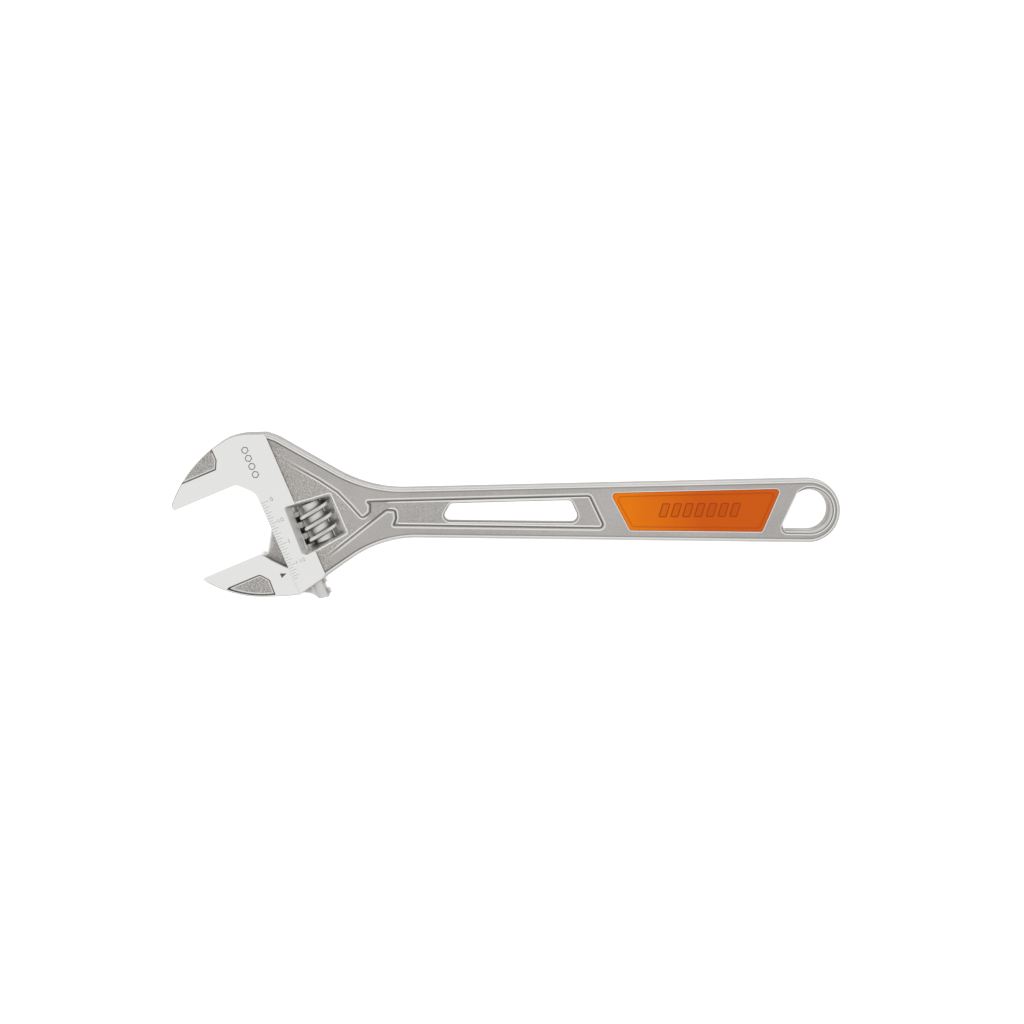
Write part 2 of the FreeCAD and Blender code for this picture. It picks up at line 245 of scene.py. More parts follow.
def depth_inside(points, loop):
    """How deep each point lies inside a closed loop, negative outside: the distance to the nearest
    edge by projection, with the sign from how many edges a ray towards +x crosses."""
    ends = np.roll(loop, -1, 0)
    edge = ends - loop
    length_sq = (edge ** 2).sum(1)
    rise = np.where(np.abs(edge[:, 1]) < 1e-12, 1e-12, edge[:, 1])
    parts = []
    for part in np.array_split(points, max(1, len(points) // 4000)):
        towards = part[:, None] - loop
        share = np.clip((towards * edge).sum(2) / length_sq, 0, 1)
        gap = towards - share[..., None] * edge
        distance = np.sqrt((gap ** 2).sum(2).min(1))
        height = part[:, 1][:, None]
        crossing = (loop[:, 1] > height) != (ends[:, 1] > height)
        x_there = loop[:, 0] + (height - loop[:, 1]) * edge[:, 0] / rise
        inside = (crossing & (part[:, 0][:, None] < x_there)).sum(1) % 2 == 1
        parts.append(np.where(inside, distance, -distance))
    return np.concatenate(parts)


def smooth(value, low, high):
    """Goes from 0 at low to 1 at high without a kink: three squares less two cubes."""
    t = np.clip((value - low) / (high - low), 0, 1)
    return t * t * (3 - 2 * t)


def stripe(value, low, from_one, to_one, high):
    """0 up to low, 1 between from_one and to_one, and 0 again beyond high."""
    return smooth(value, low, from_one) * (1 - smooth(value, to_one, high))


def rounding(depth, radius):
    """How far a quarter-round edge of that radius falls below its face at a depth inside the edge."""
    radius = np.maximum(radius, 1e-6)
    return radius - np.sqrt(radius ** 2 - np.clip(radius - depth, 0, radius) ** 2)


# ---- outlines, the same as the CAD frame's ----
def body_outline():
    end_half = handle_half_width(HANDLE_END_X)
    fixed_jaw = in_jaw_frame([
        (SEAT_U, 65.0, 8.0),
        (-133.6, FIXED_FACE_V, 4.0),
        (JAW_TIP_U, FIXED_FACE_V, 1.6),
        (JAW_TIP_U, 77.2),
        ("arc", (-151.8, 92.3), (-128.0, 99.5)),
        ("arc", (-121.0, 98.8), (-114.0, 96.4)),
        (-107.3, 93.8, 8.0),
    ])
    neck_top = [(-128.3, 43.1, 12.0), (-77.9, handle_half_width(-77.9), 75.0)]
    handle_end = [
        (HANDLE_END_X, end_half, HANDLE_END_R),
        (HANDLE_END_X, -end_half, HANDLE_END_R),
    ]
    neck_low = [(-70.7, -handle_half_width(-70.7), 62.0)]
    return trace([jaw(SEAT_U, 2.6)] + fixed_jaw + neck_top + handle_end + neck_low)


def channel_outline():
    return trace([
        (-135.0, 36.8), (-105.0, 19.2), (-95.0, 12.4), (-88.0, 5.0), (-81.6, -2.4, 1.6),
        (-77.8, 0.8, 1.5), (-77.6, 4.6, 0.8), (-79.6, 6.9, 0.6), (-75.0, 7.1, 1.0),
        (46.0, 9.5, 2.5), (55.0, -9.6, 2.5), (-64.8, -7.2, 0.7), (-63.2, -3.0, 1.0),
        (-63.6, 1.1, 1.2), (-68.2, 1.4, 2.0), (-118.2, -37.6),
    ])


def slot_outline():
    return trace([(-32.4, 5.0, 3.0), (35.3, 6.4, 3.0), (40.9, -5.9, 3.5), (-38.0, -4.6, 3.0)])


def hanging_hole_mouth():
    """The hanging hole in the handle's face."""
    return trace([
        (151.2, -12.8, 3.5), (169.2, -13.2), ("arc", (182.6, 0.2), (169.2, 13.6)),
        ("arc", (166.5, 13.3), (164.5, 12.4)), (162.4, 11.0, 1.5),
    ])


def hanging_hole_outline():
    """The hanging hole at mid-thickness, where it is narrowest."""
    return trace([
        (152.75, -10.4, 2.4), (169.4, -10.5), ("arc", (179.4, 0.4), (169.4, 11.7)),
        ("arc", (166.6, 11.5), (164.7, 11.0)), (162.3, 10.0, 1.2),
    ])


def inlay_outline(inset):
    """The inlay panel, drawn in by inset on every side."""
    return trace([
        (57.3 + 1.5 * inset, 10.65 - inset, 2.0),
        (152.7 - 1.5 * inset, 12.45 - inset, 1.8),
        (142.45 - 0.7 * inset, -11.6 + inset, 1.6),
        (68.4 + 0.7 * inset, -10.45 + inset, 1.6),
    ])


def fixed_jaw_pocket():
    return trace(in_jaw_frame([
        (-161.6, 85.4, 0.6), (-140.6, 85.4, 0.9), (-138.1, 90.3, 1.5), (-138.1, 112.0),
        (-175.0, 112.0),
    ]))


def movable_jaw_pocket():
    return trace(in_jaw_frame([
        (-160.4, 22.2, 0.8), (-141.6, 22.2, 2.5), (-137.6, 17.2, 2.0), (-138.0, 8.2),
        ("arc", (-150.0, 13.0), (-162.0, 21.6)),
    ]))


def jaw_block_outline():
    return trace(in_jaw_frame([
        (SEAT_JAW_U, 2.85), (SEAT_JAW_U, 19.3), (-135.3, 30.6), (-138.0, MOVABLE_FACE_V),
        (JAW_TIP_U, MOVABLE_FACE_V, 0.8), (JAW_TIP_U, 30.9),
        ("arc", (-163.3, 21.3), (-150.0, 12.0)), ("arc", (-138.0, 6.95), (SEAT_JAW_U, 2.85)),
    ]))


def web_outline():
    return trace(in_jaw_frame([
        (-140.0, 25.0), (-135.6, 31.0), (-133.2, 31.9), (SEAT_U, 44.4), (-122.0, RAIL_TOP_V),
        (RAIL_U, RAIL_TOP_V), (RAIL_U, -4.4), (-117.2, -3.6), (-119.6, -0.2), (-122.8, 1.7),
        (-128.0, 5.0), (-138.0, 12.0),
    ]))


def window_mouth():
    """The worm window's rounded mouth in the face, wider towards the jaws than away from them."""
    return in_jaw_frame([
        (-115.4, 21.7, 2.6), (-87.8, 24.6, 0.9), (-87.8, 48.5, 0.9), (-114.2, 51.6, 1.4),
    ])


# ---- nets of triangles over an outline ----
def ring(loop, depth):
    """The loop drawn in by a depth, as points and edges. Points that came too near to another part
    of the loop are left out, with their edges."""
    points = loop - outward(loop) * depth
    kept = np.abs(depth_inside(points, loop)) > abs(depth) - 0.02
    numbers = np.cumsum(kept) - 1
    following = np.roll(np.arange(len(loop)), -1)
    joined = kept & kept[following]
    edges = np.stack([numbers[joined], numbers[following[joined]]], 1)
    return points[kept], edges


def drawn_rings(loop, depths):
    return [ring(loop, depth) for depth in depths]


def closed_loop(loop):
    numbers = np.arange(len(loop))
    return loop, np.stack([numbers, np.roll(numbers, -1)], 1)


def within(drawn, outline, holes):
    """What of a ring lies inside the outline and outside the holes."""
    points, edges = drawn
    kept = depth_inside(points, outline) > 0.05
    for hole in holes:
        kept &= depth_inside(points, hole) < -0.05
    numbers = np.cumsum(kept) - 1
    edges = edges[kept[edges].all(1)]
    return points[kept], numbers[edges]


def net(outline, holes, rings, step=NET_STEP):
    """Triangles over the outline less its holes, following every ring: the rings and a lattice of
    points between them, joined by constrained Delaunay triangulation."""
    drawn = [closed_loop(outline)] + [closed_loop(hole) for hole in holes]
    drawn += [within(one, outline, holes) for one in rings]
    points = np.concatenate([part[0] for part in drawn])
    offsets = np.cumsum([0] + [len(part[0]) for part in drawn])
    edges = np.concatenate([part[1] + offset for part, offset in zip(drawn, offsets)])

    low, high = outline.min(0), outline.max(0)
    rows = np.arange(low[1], high[1], step * 0.87)
    columns = np.arange(low[0], high[0], step)
    lattice_x, lattice_y = np.meshgrid(columns, rows)
    lattice_x[1::2] += step / 2
    lattice = np.stack([lattice_x.ravel(), lattice_y.ravel()], 1)
    free = depth_inside(lattice, outline) > step * 0.5
    for hole in holes:
        free &= depth_inside(lattice, hole) < -step * 0.5
    lattice = lattice[free]
    clear = []
    for part in np.array_split(lattice, max(1, len(lattice) // 400)):
        nearest_sq = ((part[:, None] - points) ** 2).sum(2).min(1)
        clear.append(nearest_sq > (step * 0.6) ** 2)
    points = np.concatenate([points, lattice[np.concatenate(clear)]])

    made = delaunay_2d_cdt([Vector(p) for p in points.tolist()], edges.tolist(), [], 0, 1e-5)
    flat = np.array([tuple(p) for p in made[0]])
    triangles = np.array(made[2])
    middles = flat[triangles].mean(1)
    kept = depth_inside(middles, outline) > 0
    for hole in holes:
        kept &= depth_inside(middles, hole) < 0
    triangles = triangles[kept]
    used = np.unique(triangles)
    renumber = np.zeros(len(flat), int)
    renumber[used] = np.arange(len(used))
    flat, triangles = flat[used], renumber[triangles]
    a, b, c = flat[triangles[:, 0]], flat[triangles[:, 1]], flat[triangles[:, 2]]
    area = (b[:, 0] - a[:, 0]) * (c[:, 1] - a[:, 1]) - (b[:, 1] - a[:, 1]) * (c[:, 0] - a[:, 0])
    triangles[area < 0] = triangles[area < 0][:, ::-1]
    return flat, triangles[np.abs(area) > 1e-9]


def plate(flat, triangles, top, bottom, bulge):
    """A closed solid: the net raised to top and to bottom, and walls down its open edges. A wall
    goes out by bulge to a land at mid-thickness, where the forging dies met."""
    count = len(flat)
    directed = np.concatenate([triangles[:, [0, 1]], triangles[:, [1, 2]], triangles[:, [2, 0]]])
    keys = directed[:, 0] * count + directed[:, 1]
    reverse = directed[:, 1] * count + directed[:, 0]
    rim = directed[~np.isin(keys, reverse)]
    edge = flat[rim[:, 1]] - flat[rim[:, 0]]
    normal = np.stack([edge[:, 1], -edge[:, 0]], 1)
    normal /= np.maximum(np.linalg.norm(normal, axis=1), 1e-12)[:, None]
    away = np.zeros((count, 2))
    np.add.at(away, rim[:, 0], normal)
    np.add.at(away, rim[:, 1], normal)
    away /= np.maximum(np.linalg.norm(away, axis=1), 1e-12)[:, None]
    spread = flat + away * bulge[:, None]
    middle = (top + bottom) / 2
    rim_points = np.unique(rim)
    number = np.zeros(count, int)
    number[rim_points] = np.arange(len(rim_points))
    upper = np.column_stack([spread, middle + PARTING_HALF])[rim_points]
    lower = np.column_stack([spread, middle - PARTING_HALF])[rim_points]
    points = np.concatenate([
        np.column_stack([flat, top]), np.column_stack([flat, bottom]), upper, lower,
    ])
    rows = [rim, number[rim] + 2 * count, number[rim] + 2 * count + len(rim_points), rim + count]
    faces = [triangles, triangles[:, ::-1] + count]
    for above, below in zip(rows[:-1], rows[1:]):
        faces.append(np.stack([above[:, 0], below[:, 0], below[:, 1]], 1))
        faces.append(np.stack([above[:, 0], below[:, 1], above[:, 1]], 1))
    return points, np.concatenate(faces)


def tube_faces(rows, columns, closed_rows=False):
    """Triangles of a grid of points that wraps round along its columns, numbered row by row."""
    row = np.arange(rows if closed_rows else rows - 1)[:, None]
    column = np.arange(columns)[None]
    here = row * columns + column
    right = row * columns + (column + 1) % columns
    above = (row + 1) % rows * columns + column
    above_right = (row + 1) % rows * columns + (column + 1) % columns
    first = np.stack([here, right, above_right], -1).reshape(-1, 3)
    second = np.stack([here, above_right, above], -1).reshape(-1, 3)
    return np.concatenate([first, second])


def capped(points, faces, rows, columns):
    """Closes both ends of such a grid with a fan about the end row's middle."""
    ends = []
    centres = []
    for end, row in enumerate((0, rows - 1)):
        start = row * columns
        ring_numbers = start + np.arange(columns)
        following = np.roll(ring_numbers, -1)
        centre = np.full(columns, len(points) + end)
        pair = [following, ring_numbers] if end == 0 else [ring_numbers, following]
        ends.append(np.stack([*pair, centre], 1))
        centres.append(points[ring_numbers].mean(0))
    return np.concatenate([points, centres]), np.concatenate([faces, *ends])


# ---- from arrays to objects ----
def row_shift():
    """Where the drawing frame's origin lies in the row frame: the handle's end gives x, and the
    inner end of the worm's pin, a round bar at the jaw angle, gives y."""
    end_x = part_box("body")[1].x * 1000
    pin_end_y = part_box("worm_pin")[1].y * 1000
    drawn_pin_end_y = WORM_U * SIN + PIN_TOP_V * COS + PIN_R * SIN
    return np.array([end_x - HANDLE_END_X, pin_end_y - drawn_pin_end_y, HEAD_HALF])


def new_object(name, points, faces):
    """A mesh object in metres in the row frame, from drawing-frame points in millimetres."""
    mesh = bpy.data.meshes.new(name)
    placed = (points + row_shift()) / 1000
    mesh.from_pydata(placed.tolist(), [], faces.tolist())
    mesh.validate()
    made = bpy.data.objects.new(name, mesh)
    bpy.context.scene.collection.objects.link(made)
    return made


def combined(solid, tools, operation):
    """The solid after each tool is cut from it or joined to it, with the tools taken away."""
    for tool in tools:
        step = solid.modifiers.new(tool.name, "BOOLEAN")
        step.operation = operation
        step.solver = "MANIFOLD"
        step.object = tool
    bpy.context.view_layer.update()
    evaluated = solid.evaluated_get(bpy.context.evaluated_depsgraph_get())
    mesh = bpy.data.meshes.new_from_object(evaluated)
    mesh.name = solid.name
    mesh.materials.clear()
    mesh.polygons.foreach_set("material_index", np.zeros(len(mesh.polygons), np.int32))
    solid.modifiers.clear()
    solid.data = mesh
    for tool in tools:
        bpy.data.objects.remove(tool)
    return solid


def in_drawing_frame(mesh):
    """Each vertex's place in millimetres in the drawing frame, and each face corner's vertex and
    the direction of its face."""
    places = np.zeros(len(mesh.vertices) * 3)
    mesh.vertices.foreach_get("co", places)
    places = places.reshape(-1, 3) * 1000 - row_shift()
    corner_vertex = np.zeros(len(mesh.loops), int)
    mesh.loops.foreach_get("vertex_index", corner_vertex)
    sizes = np.zeros(len(mesh.polygons), int)
    mesh.polygons.foreach_get("loop_total", sizes)
    normals = np.zeros(len(mesh.polygons) * 3)
    mesh.polygons.foreach_get("normal", normals)
    return places, corner_vertex, np.repeat(normals.reshape(-1, 3), sizes, 0)


def smooth_shading(mesh, degrees=34):
    mesh.polygons.foreach_set("use_smooth", np.ones(len(mesh.polygons), bool))
    mesh.set_sharp_from_angle(angle=math.radians(degrees))


def mark_finishes_and_painted_light(made, rule):
    """Stores on each face corner how polished and grained the steel is there, and how much painted highlight
    and painted shade it gets.
    """
    places, corners, normals = in_drawing_frame(made.data)

    def depth_in(loop):
        return depth_inside(places[:, :2], loop)[corners]

    for name, values in zip(("polish", "grain", "painted_highlight", "dark"), rule(places[corners], normals, depth_in)):
        layer = made.data.attributes.new(name, "FLOAT", "CORNER")
        layer.data.foreach_set("value", np.clip(values, 0, 1).astype(np.float32))
    smooth_shading(made.data)


def onto_worm_axis(points):
    """Points made about the z axis, moved to the worm's: x goes to u, z to v and y to -z."""
    x, y = jaw(points[:, 0] + WORM_U, points[:, 2])
    return np.column_stack([x, y, -points[:, 1]])


def prism(entries, low, high):
    """A traced outline as a closed bar from z = low to z = high: two copies of the loop, capped."""
    loop = trace(entries)
    points = np.concatenate([np.column_stack([loop, np.full(len(loop), z)]) for z in (low, high)])
    return capped(points, tube_faces(2, len(loop)), 2, len(loop))


def bar(u, low_v, high_v, radius, around=96):
    """A round bar along v at mid-thickness: a circle in u and z at two heights, capped."""
    angle = np.arange(around) * (2 * math.pi / around)
    circle_u = u + radius * np.cos(angle)
    circle_z = -radius * np.sin(angle)
    ends = []
    for v in (low_v, high_v):
        x, y = jaw(circle_u, np.full(around, v))
        ends.append(np.column_stack([x, y, circle_z]))
    return capped(np.concatenate(ends), tube_faces(2, around), 2, around)


def worm_cutters():
    """The worm's round pocket and its narrow back opening."""
    low = WORM_LOW_V - POCKET_END_GAP
    top = WORM_TOP_V + POCKET_END_GAP
    back_low, back_high = WORM_U - BACK_OPENING_HALF, WORM_U + BACK_OPENING_HALF
    back = in_jaw_frame([(back_low, low), (back_high, low), (back_high, top), (back_low, top)])
    return [
        new_object("pocket", *bar(WORM_U, low, top, POCKET_R, 128)),
        new_object("back_opening", *prism(back, -HEAD_HALF - 2, -4)),
        new_object("window_flare", *window_flare()),
    ]


def window_flare(around_step=0.8):
    """The window's sloping front as a loft: from the straight waist at mid-thickness to the rounded
    mouth, whose last fraction below the face turns outwards in a small lip."""
    low = WORM_LOW_V - POCKET_END_GAP
    top = WORM_TOP_V + POCKET_END_GAP
    mouth = trace(window_mouth(), around_step)
    u, v = jaw_frame(mouth)
    waist_u = np.interp(u, (-115.4, -87.8), (-108.6, -91.2))
    waist_v = np.interp(v, (21.7, 51.6), (low, top))
    waist = np.stack(jaw(waist_u, waist_v), 1)
    face = sunk_face(mouth)
    rows = [np.column_stack([waist, np.zeros(len(mouth))])]
    levels = ((LIP, 0.0), (0.45 * LIP, 0.12 * LIP), (0.1 * LIP, 0.5 * LIP), (-0.02, LIP), (-2.0, 1.2))
    for below, out in levels:
        height = face - below
        share = (height / HEAD_HALF)[:, None]
        across = waist + (mouth - waist) * share + outward(mouth) * out
        rows.append(np.column_stack([across, height]))
    return capped(np.concatenate(rows), tube_faces(len(rows), len(mouth)), len(rows), len(mouth))


def rail_cutters():
    """The round channel of the rail with its slot to the seat, and the bore of the worm's pin."""
    slot = in_jaw_frame([
        (-142.0, -40.0), (RAIL_U, -40.0), (RAIL_U, CHANNEL_TOP_V), (-122.5, CHANNEL_TOP_V),
        (-126.0, 86.9), (-136.0, 72.6), (-142.0, 72.0),
    ])
    web_half = WEB_HALF + RUNNING_GAP
    return [
        new_object("channel", *bar(RAIL_U, -40.0, CHANNEL_TOP_V, RAIL_R + RUNNING_GAP)),
        new_object("slot", *prism(slot, -web_half, web_half)),
        new_object("bore", *bar(WORM_U, 0, PIN_TOP_V + PIN_GAP, PIN_R + PIN_GAP)),
        new_object("counterbore", *bar(WORM_U, 0, PIN_HEAD_TOP_V, PIN_HEAD_R + PIN_GAP)),
    ]


# ---- body ----
def flange_half(u):
    """Half thickness of the sunk faces: from the head's blend to the handle's, without a kink."""
    return BLEND_HALF + (HANDLE_HALF - BLEND_HALF) * smooth(u, BAND_U, -48.0)


def channel_half(u):
    return BLEND_HALF + (CHANNEL_HALF - BLEND_HALF) * smooth(u, BAND_U, -54.0)


def sunk_face(points):
    """Half thickness of the head and the handle away from edges and channels."""
    u = jaw_frame(points)[0]
    return np.where(u < BAND_U + 0.01, POLISHED_HALF, flange_half(u))


def machined(points):
    """1 on the seat and the gripping face, 0 on forged flanks."""
    u, v = jaw_frame(points)
    return ((u < SEAT_U + 0.6) & (v < 76.5)).astype(float)


def up_the_hole(points):
    """0 at the hanging hole's narrow outline and 1 at its mouth: the distance to the narrow outline
    as a share of the distance between the two."""
    from_narrow = np.maximum(-depth_inside(points, hanging_hole_outline()), 0)
    to_mouth = depth_inside(points, hanging_hole_mouth())
    return np.where(to_mouth > 0, from_narrow / np.maximum(from_narrow + to_mouth, 1e-6), 1.0)


def body_height(points, outline, slot, loops):
    """Half thickness over the plan: the band or the sunk face, less the rim's step, the channel's
    wall, the jaw pocket, the inlay recess and the rounding of every edge. The hanging hole's wall
    rises as a quarter ellipse and ends in a small step below the face."""
    channel, pocket, recess = loops
    u, _ = jaw_frame(points)
    sizes = bpy.context.scene.wrench_forging
    deep = depth_inside(points, outline)
    behind = smooth(u, BAND_U, BAND_U + 0.35)
    base = POLISHED_HALF + (flange_half(np.maximum(u, BAND_U)) - POLISHED_HALF) * behind
    drop = 1000 * sizes.rim_drop * (2 - smooth(u, BAND_U, -70.0))
    base = base - drop * smooth(deep, RIM_WIDTH, RIM_WIDTH + RIM_WALL) * behind
    wall = smooth(depth_inside(points, channel), *CHANNEL_WALL)
    depth = (flange_half(u) - channel_half(u)) * behind
    base = base - depth * wall
    into_pocket = np.clip(depth_inside(points, pocket) / POCKET_WALL, 0, 1)
    base = base - 1000 * sizes.jaw_pocket_depth * (1 - (1 - into_pocket) ** 2.4)
    into_recess = depth_inside(points, recess)
    floor = HANDLE_HALF - INLAY_RECESS_DEPTH
    base = base - rounding(-into_recess, 0.3)
    base = np.where(into_recess > 0.01, floor, base)
    forged = 1 - machined(points)
    radius = 0.06 + forged * (0.94 + (1000 * sizes.edge_rounding - 1.0) * smooth(u, BAND_U - 4, -90.0))
    base = base - rounding(deep, radius)
    base = base - rounding(-depth_inside(points, slot), 1.0)
    share = up_the_hole(points)
    wall = 0.42 + (HOLE_STEP - 0.42) * np.sqrt(1 - (1 - np.clip(share / 0.84, 0, 1)) ** 2)
    return base * (wall + (1 - HOLE_STEP) * smooth(share, 0.84, 1.0))


def body_finish_and_painted_light(places, normals, depth_in):
    """Polish on the head's band, grain in the sunk panels, painted highlights on edges, rims and hole mouths,
    painted light on the window's walls, and painted shade on walls, grooves, flanks and hole sides.
    """
    flat = places[:, :2]
    u, v = jaw_frame(flat)
    facing = np.abs(normals[:, 2])
    deep = depth_in(body_outline())
    pocket = depth_in(fixed_jaw_pocket())
    channel = depth_in(channel_outline())
    recess = depth_in(inlay_outline(0))
    outer = np.abs(places[:, 2]) > 5.9 - 2.0 * (u > -60)
    band = (u < BAND_U + 0.02) & (pocket < 0.02)
    seat = (machined(flat) > 0) & (facing < 0.3)
    polish = (band & (facing > 0.9)) | seat
    sunk = smooth(u, BAND_U, BAND_U + 0.3)
    head = 1 - smooth(u, -92.0, -66.0)
    ground = smooth(channel, 0.6, 1.6)
    before_ridge = smooth(deep, 2.6, 3.2) * (1 - smooth(u, -104.0, -97.0))
    grain = np.maximum(sunk * head * np.maximum(ground, before_ridge), smooth(pocket, 0.7, 1.3))
    in_channel = smooth(channel, 1.2, 2.0) * (1 - smooth(u, 10.0, 50.0))
    grain = np.maximum.reduce([grain, 0.3 * sunk, 0.6 * in_channel * sunk]) * (facing > 0.5)
    step = flange_half(u) - channel_half(u)
    visible_step = np.clip(step / 0.35, 0, 1) * sunk
    # painted highlights: bright lines along the channel's edges, the pocket's fillet, the rim, the recess
    # edge and the window's mouth
    top_edge = stripe(channel, -1.2, -0.9, -0.6, -0.3)
    low_edge = stripe(channel, 0.95, 1.2, 1.5, 1.8)
    pocket_edge = stripe(pocket, 0.9, 1.05, 1.2, 1.4)
    rim_line = stripe(deep, 1.4, 1.7, 2.0, 2.3) * sunk
    rim_side = (1 - smooth(deep, 0.9, 1.4)) * sunk
    recess_edge = smooth(recess, -0.6, -0.35) * (recess < 0.02)
    slot = -depth_in(slot_outline())
    mouth = -depth_in(hanging_hole_mouth())
    # painted highlights on the hole rims and painted shade on their inner sides
    hole_lines = np.maximum(
        stripe(slot, 0.6, 0.8, 1.1, 1.4),
        stripe(mouth, -0.1, 0.1, 0.4, 0.7),
    )
    hole_sides = np.maximum(
        0.45 * (1 - smooth(slot, 0.35, 0.6)),
        0.6 * stripe(mouth, -0.75, -0.45, -0.2, 0.0),
    )
    window = (u > -116.5) & (u < -87.0) & (v > 21.0) & (v < 52.5) & (facing < 0.97)
    window &= np.abs(places[:, 2]) < HEAD_HALF - 0.05
    from_mouth = -depth_in(trace(window_mouth()))
    window_line = stripe(from_mouth, 0.2, 0.4, 0.7, 0.95) * sunk
    window_line = window_line * (places[:, 2] > 0)
    far_wall = window & (u < -107.0) & (places[:, 2] > 0.5)
    # all painted highlights together, with painted light on the window's walls, more on the far wall
    painted_highlight = np.maximum.reduce([
        0.8 * top_edge * visible_step, 0.95 * low_edge * visible_step, pocket_edge,
        0.9 * rim_line, 0.3 * rim_side, 0.9 * hole_lines, 0.9 * recess_edge,
        0.4 * (mouth < -0.7) * (mouth > -3.6), window_line,
    ]) * outer
    painted_highlight = np.maximum.reduce([painted_highlight, 0.5 * window, 0.75 * far_wall])
    # painted shade on the channel's and the pocket's walls, in the rim's groove, on forged flanks and on the
    # holes' sides; none inside the window
    wall_dark = stripe(channel, 0.0, 0.35, 0.75, 1.0) * visible_step
    pocket_dark = stripe(pocket, -0.02, 0.05, 0.6, 0.9)
    groove = stripe(deep, RIM_WIDTH, RIM_WIDTH + 0.2, RIM_WIDTH + 0.5, RIM_WIDTH + 0.8)
    groove = groove * sunk * (0.9 - 0.4 * smooth(u, -78.0, -64.0))
    flank = 0.5 * (facing < 0.4) * (deep < 0.6) * (machined(flat) == 0)
    dark = np.maximum.reduce([0.8 * wall_dark, 0.95 * pocket_dark, groove, flank, hole_sides])
    return polish.astype(float), grain, painted_highlight, np.where(window, 0, dark)


def forge_body():
    outline = body_outline()
    forged = 1 - machined(outline)
    outline = outline - outward(outline) * (forged * FORGED_BULGE)[:, None]
    slot = slot_outline() + outward(slot_outline()) * HOLE_BULGE
    hanging_hole = hanging_hole_outline() + outward(hanging_hole_outline()) * HOLE_BULGE
    holes = [slot, hanging_hole]
    loops = (channel_outline(), fixed_jaw_pocket(), inlay_outline(0))
    channel, pocket, recess = loops
    rings = drawn_rings(
        outline, (0.05, 0.14, 0.28, 0.5, 0.8, 1.1, 1.4, 1.7, 2.0, 2.3, 2.47, 2.63, 2.8, 3.15),
    )
    rings += drawn_rings(channel, (-1.3, -0.95, *np.linspace(*CHANNEL_WALL, 9), 1.85))
    rings += drawn_rings(pocket, POCKET_RINGS)
    rings += drawn_rings(recess, (-0.65, -0.35, -0.2, -0.1, -0.03, 0.0, 0.03))
    rings += drawn_rings(slot, (-0.06, -0.16, -0.32, -0.55, -0.8, -1.1, -1.35, -1.7))
    rings += drawn_rings(hanging_hole, (-0.06, -0.16, -0.32, -0.55, -0.9))
    rings += drawn_rings(hanging_hole_mouth(), (-0.7, -0.35, -0.12, 0.0, 0.15, 0.3, 0.5, 0.8, 1.2, 1.7))
    rings += drawn_rings(trace(window_mouth()), (-0.15, -0.4, -0.6, -0.8, -1.05, -1.4))
    band = in_jaw_frame([(BAND_U, -60.0), (0.0, -60.0), (0.0, 140.0), (BAND_U, 140.0)])
    rings += drawn_rings(trace(band), (0.0, 0.08, 0.17, 0.26, 0.36, 0.7))
    flat, triangles = net(outline, holes, rings)
    half = body_height(flat, outline, slot, loops)
    bulge = np.where(depth_inside(flat, outline) < 0.3, FORGED_BULGE * (1 - machined(flat)), HOLE_BULGE)
    body = new_object("wrench_body", *plate(flat, triangles, half, -half, bulge))
    combined(body, rail_cutters() + worm_cutters(), "DIFFERENCE")
    mark_finishes_and_painted_light(body, body_finish_and_painted_light)
    body.data.materials.append(forged_steel("body_steel", bpy.context.scene.wrench_finish))
    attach(body, "handle_and_fixed_jaw")
    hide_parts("body")


# ---- movable jaw ----
def jaw_rail(around=72):
    """The round rail: circles in u and z carried along v. Between the teeth the circle is cut off
    flat at the rack's root, and the gaps lean with the worm's lead."""
    tilt = WORM_LEAD / (2 * math.pi * WORM_R)
    tooth_ends = []
    for i in range(RACK_GAPS):
        middle = RACK_FIRST_GAP_V + i * WORM_LEAD
        tooth_ends += [(middle - RACK_GAP / 2, 0, 1), (middle + RACK_GAP / 2, 1, 0)]
    levels = [(v, cut) for v, *cuts in tooth_ends for cut in cuts]
    levels = [(v, cut) for v, cut in levels if RAIL_LOW_V < v < RAIL_TOP_V]
    levels = [(RAIL_LOW_V, 1), (RAIL_LOW_V + 0.3, 1)] + levels + [(RAIL_TOP_V - 0.35, 0), (RAIL_TOP_V, 0)]
    heights = np.array([level[0] for level in levels])[:, None]
    cut = np.array([level[1] for level in levels], bool)[:, None]
    drawn_in = np.zeros(len(levels))[:, None]
    drawn_in[0] = drawn_in[-1] = 0.35
    angle = (np.arange(around) * (2 * math.pi / around))[None]
    u = RAIL_U + (RAIL_R - drawn_in) * np.cos(angle)
    z = -(RAIL_R - drawn_in) * np.sin(angle)
    beyond = u > RACK_ROOT_U
    v = heights + np.where(beyond, tilt * z, 0) * (heights > RAIL_LOW_V + 1) * (heights < RAIL_TOP_V - 1)
    u = np.where(cut & beyond, RACK_ROOT_U, u)
    x, y = jaw(u, v)
    points = np.stack([x, y, z], -1).reshape(-1, 3)
    return capped(points, tube_faces(len(levels), around), len(levels), around)


def rail_trim():
    """What is cut off the rail's lower end, so that it follows the web's slope."""
    return new_object("trim", *prism(in_jaw_frame([
        (-130.0, -20.0), (-112.0, -20.0), (-112.0, RAIL_LOW_V), (-117.2, -3.6), (-119.6, -0.2),
        (-122.8, 1.7), (-130.0, 5.9),
    ]), -HEAD_HALF, HEAD_HALF))


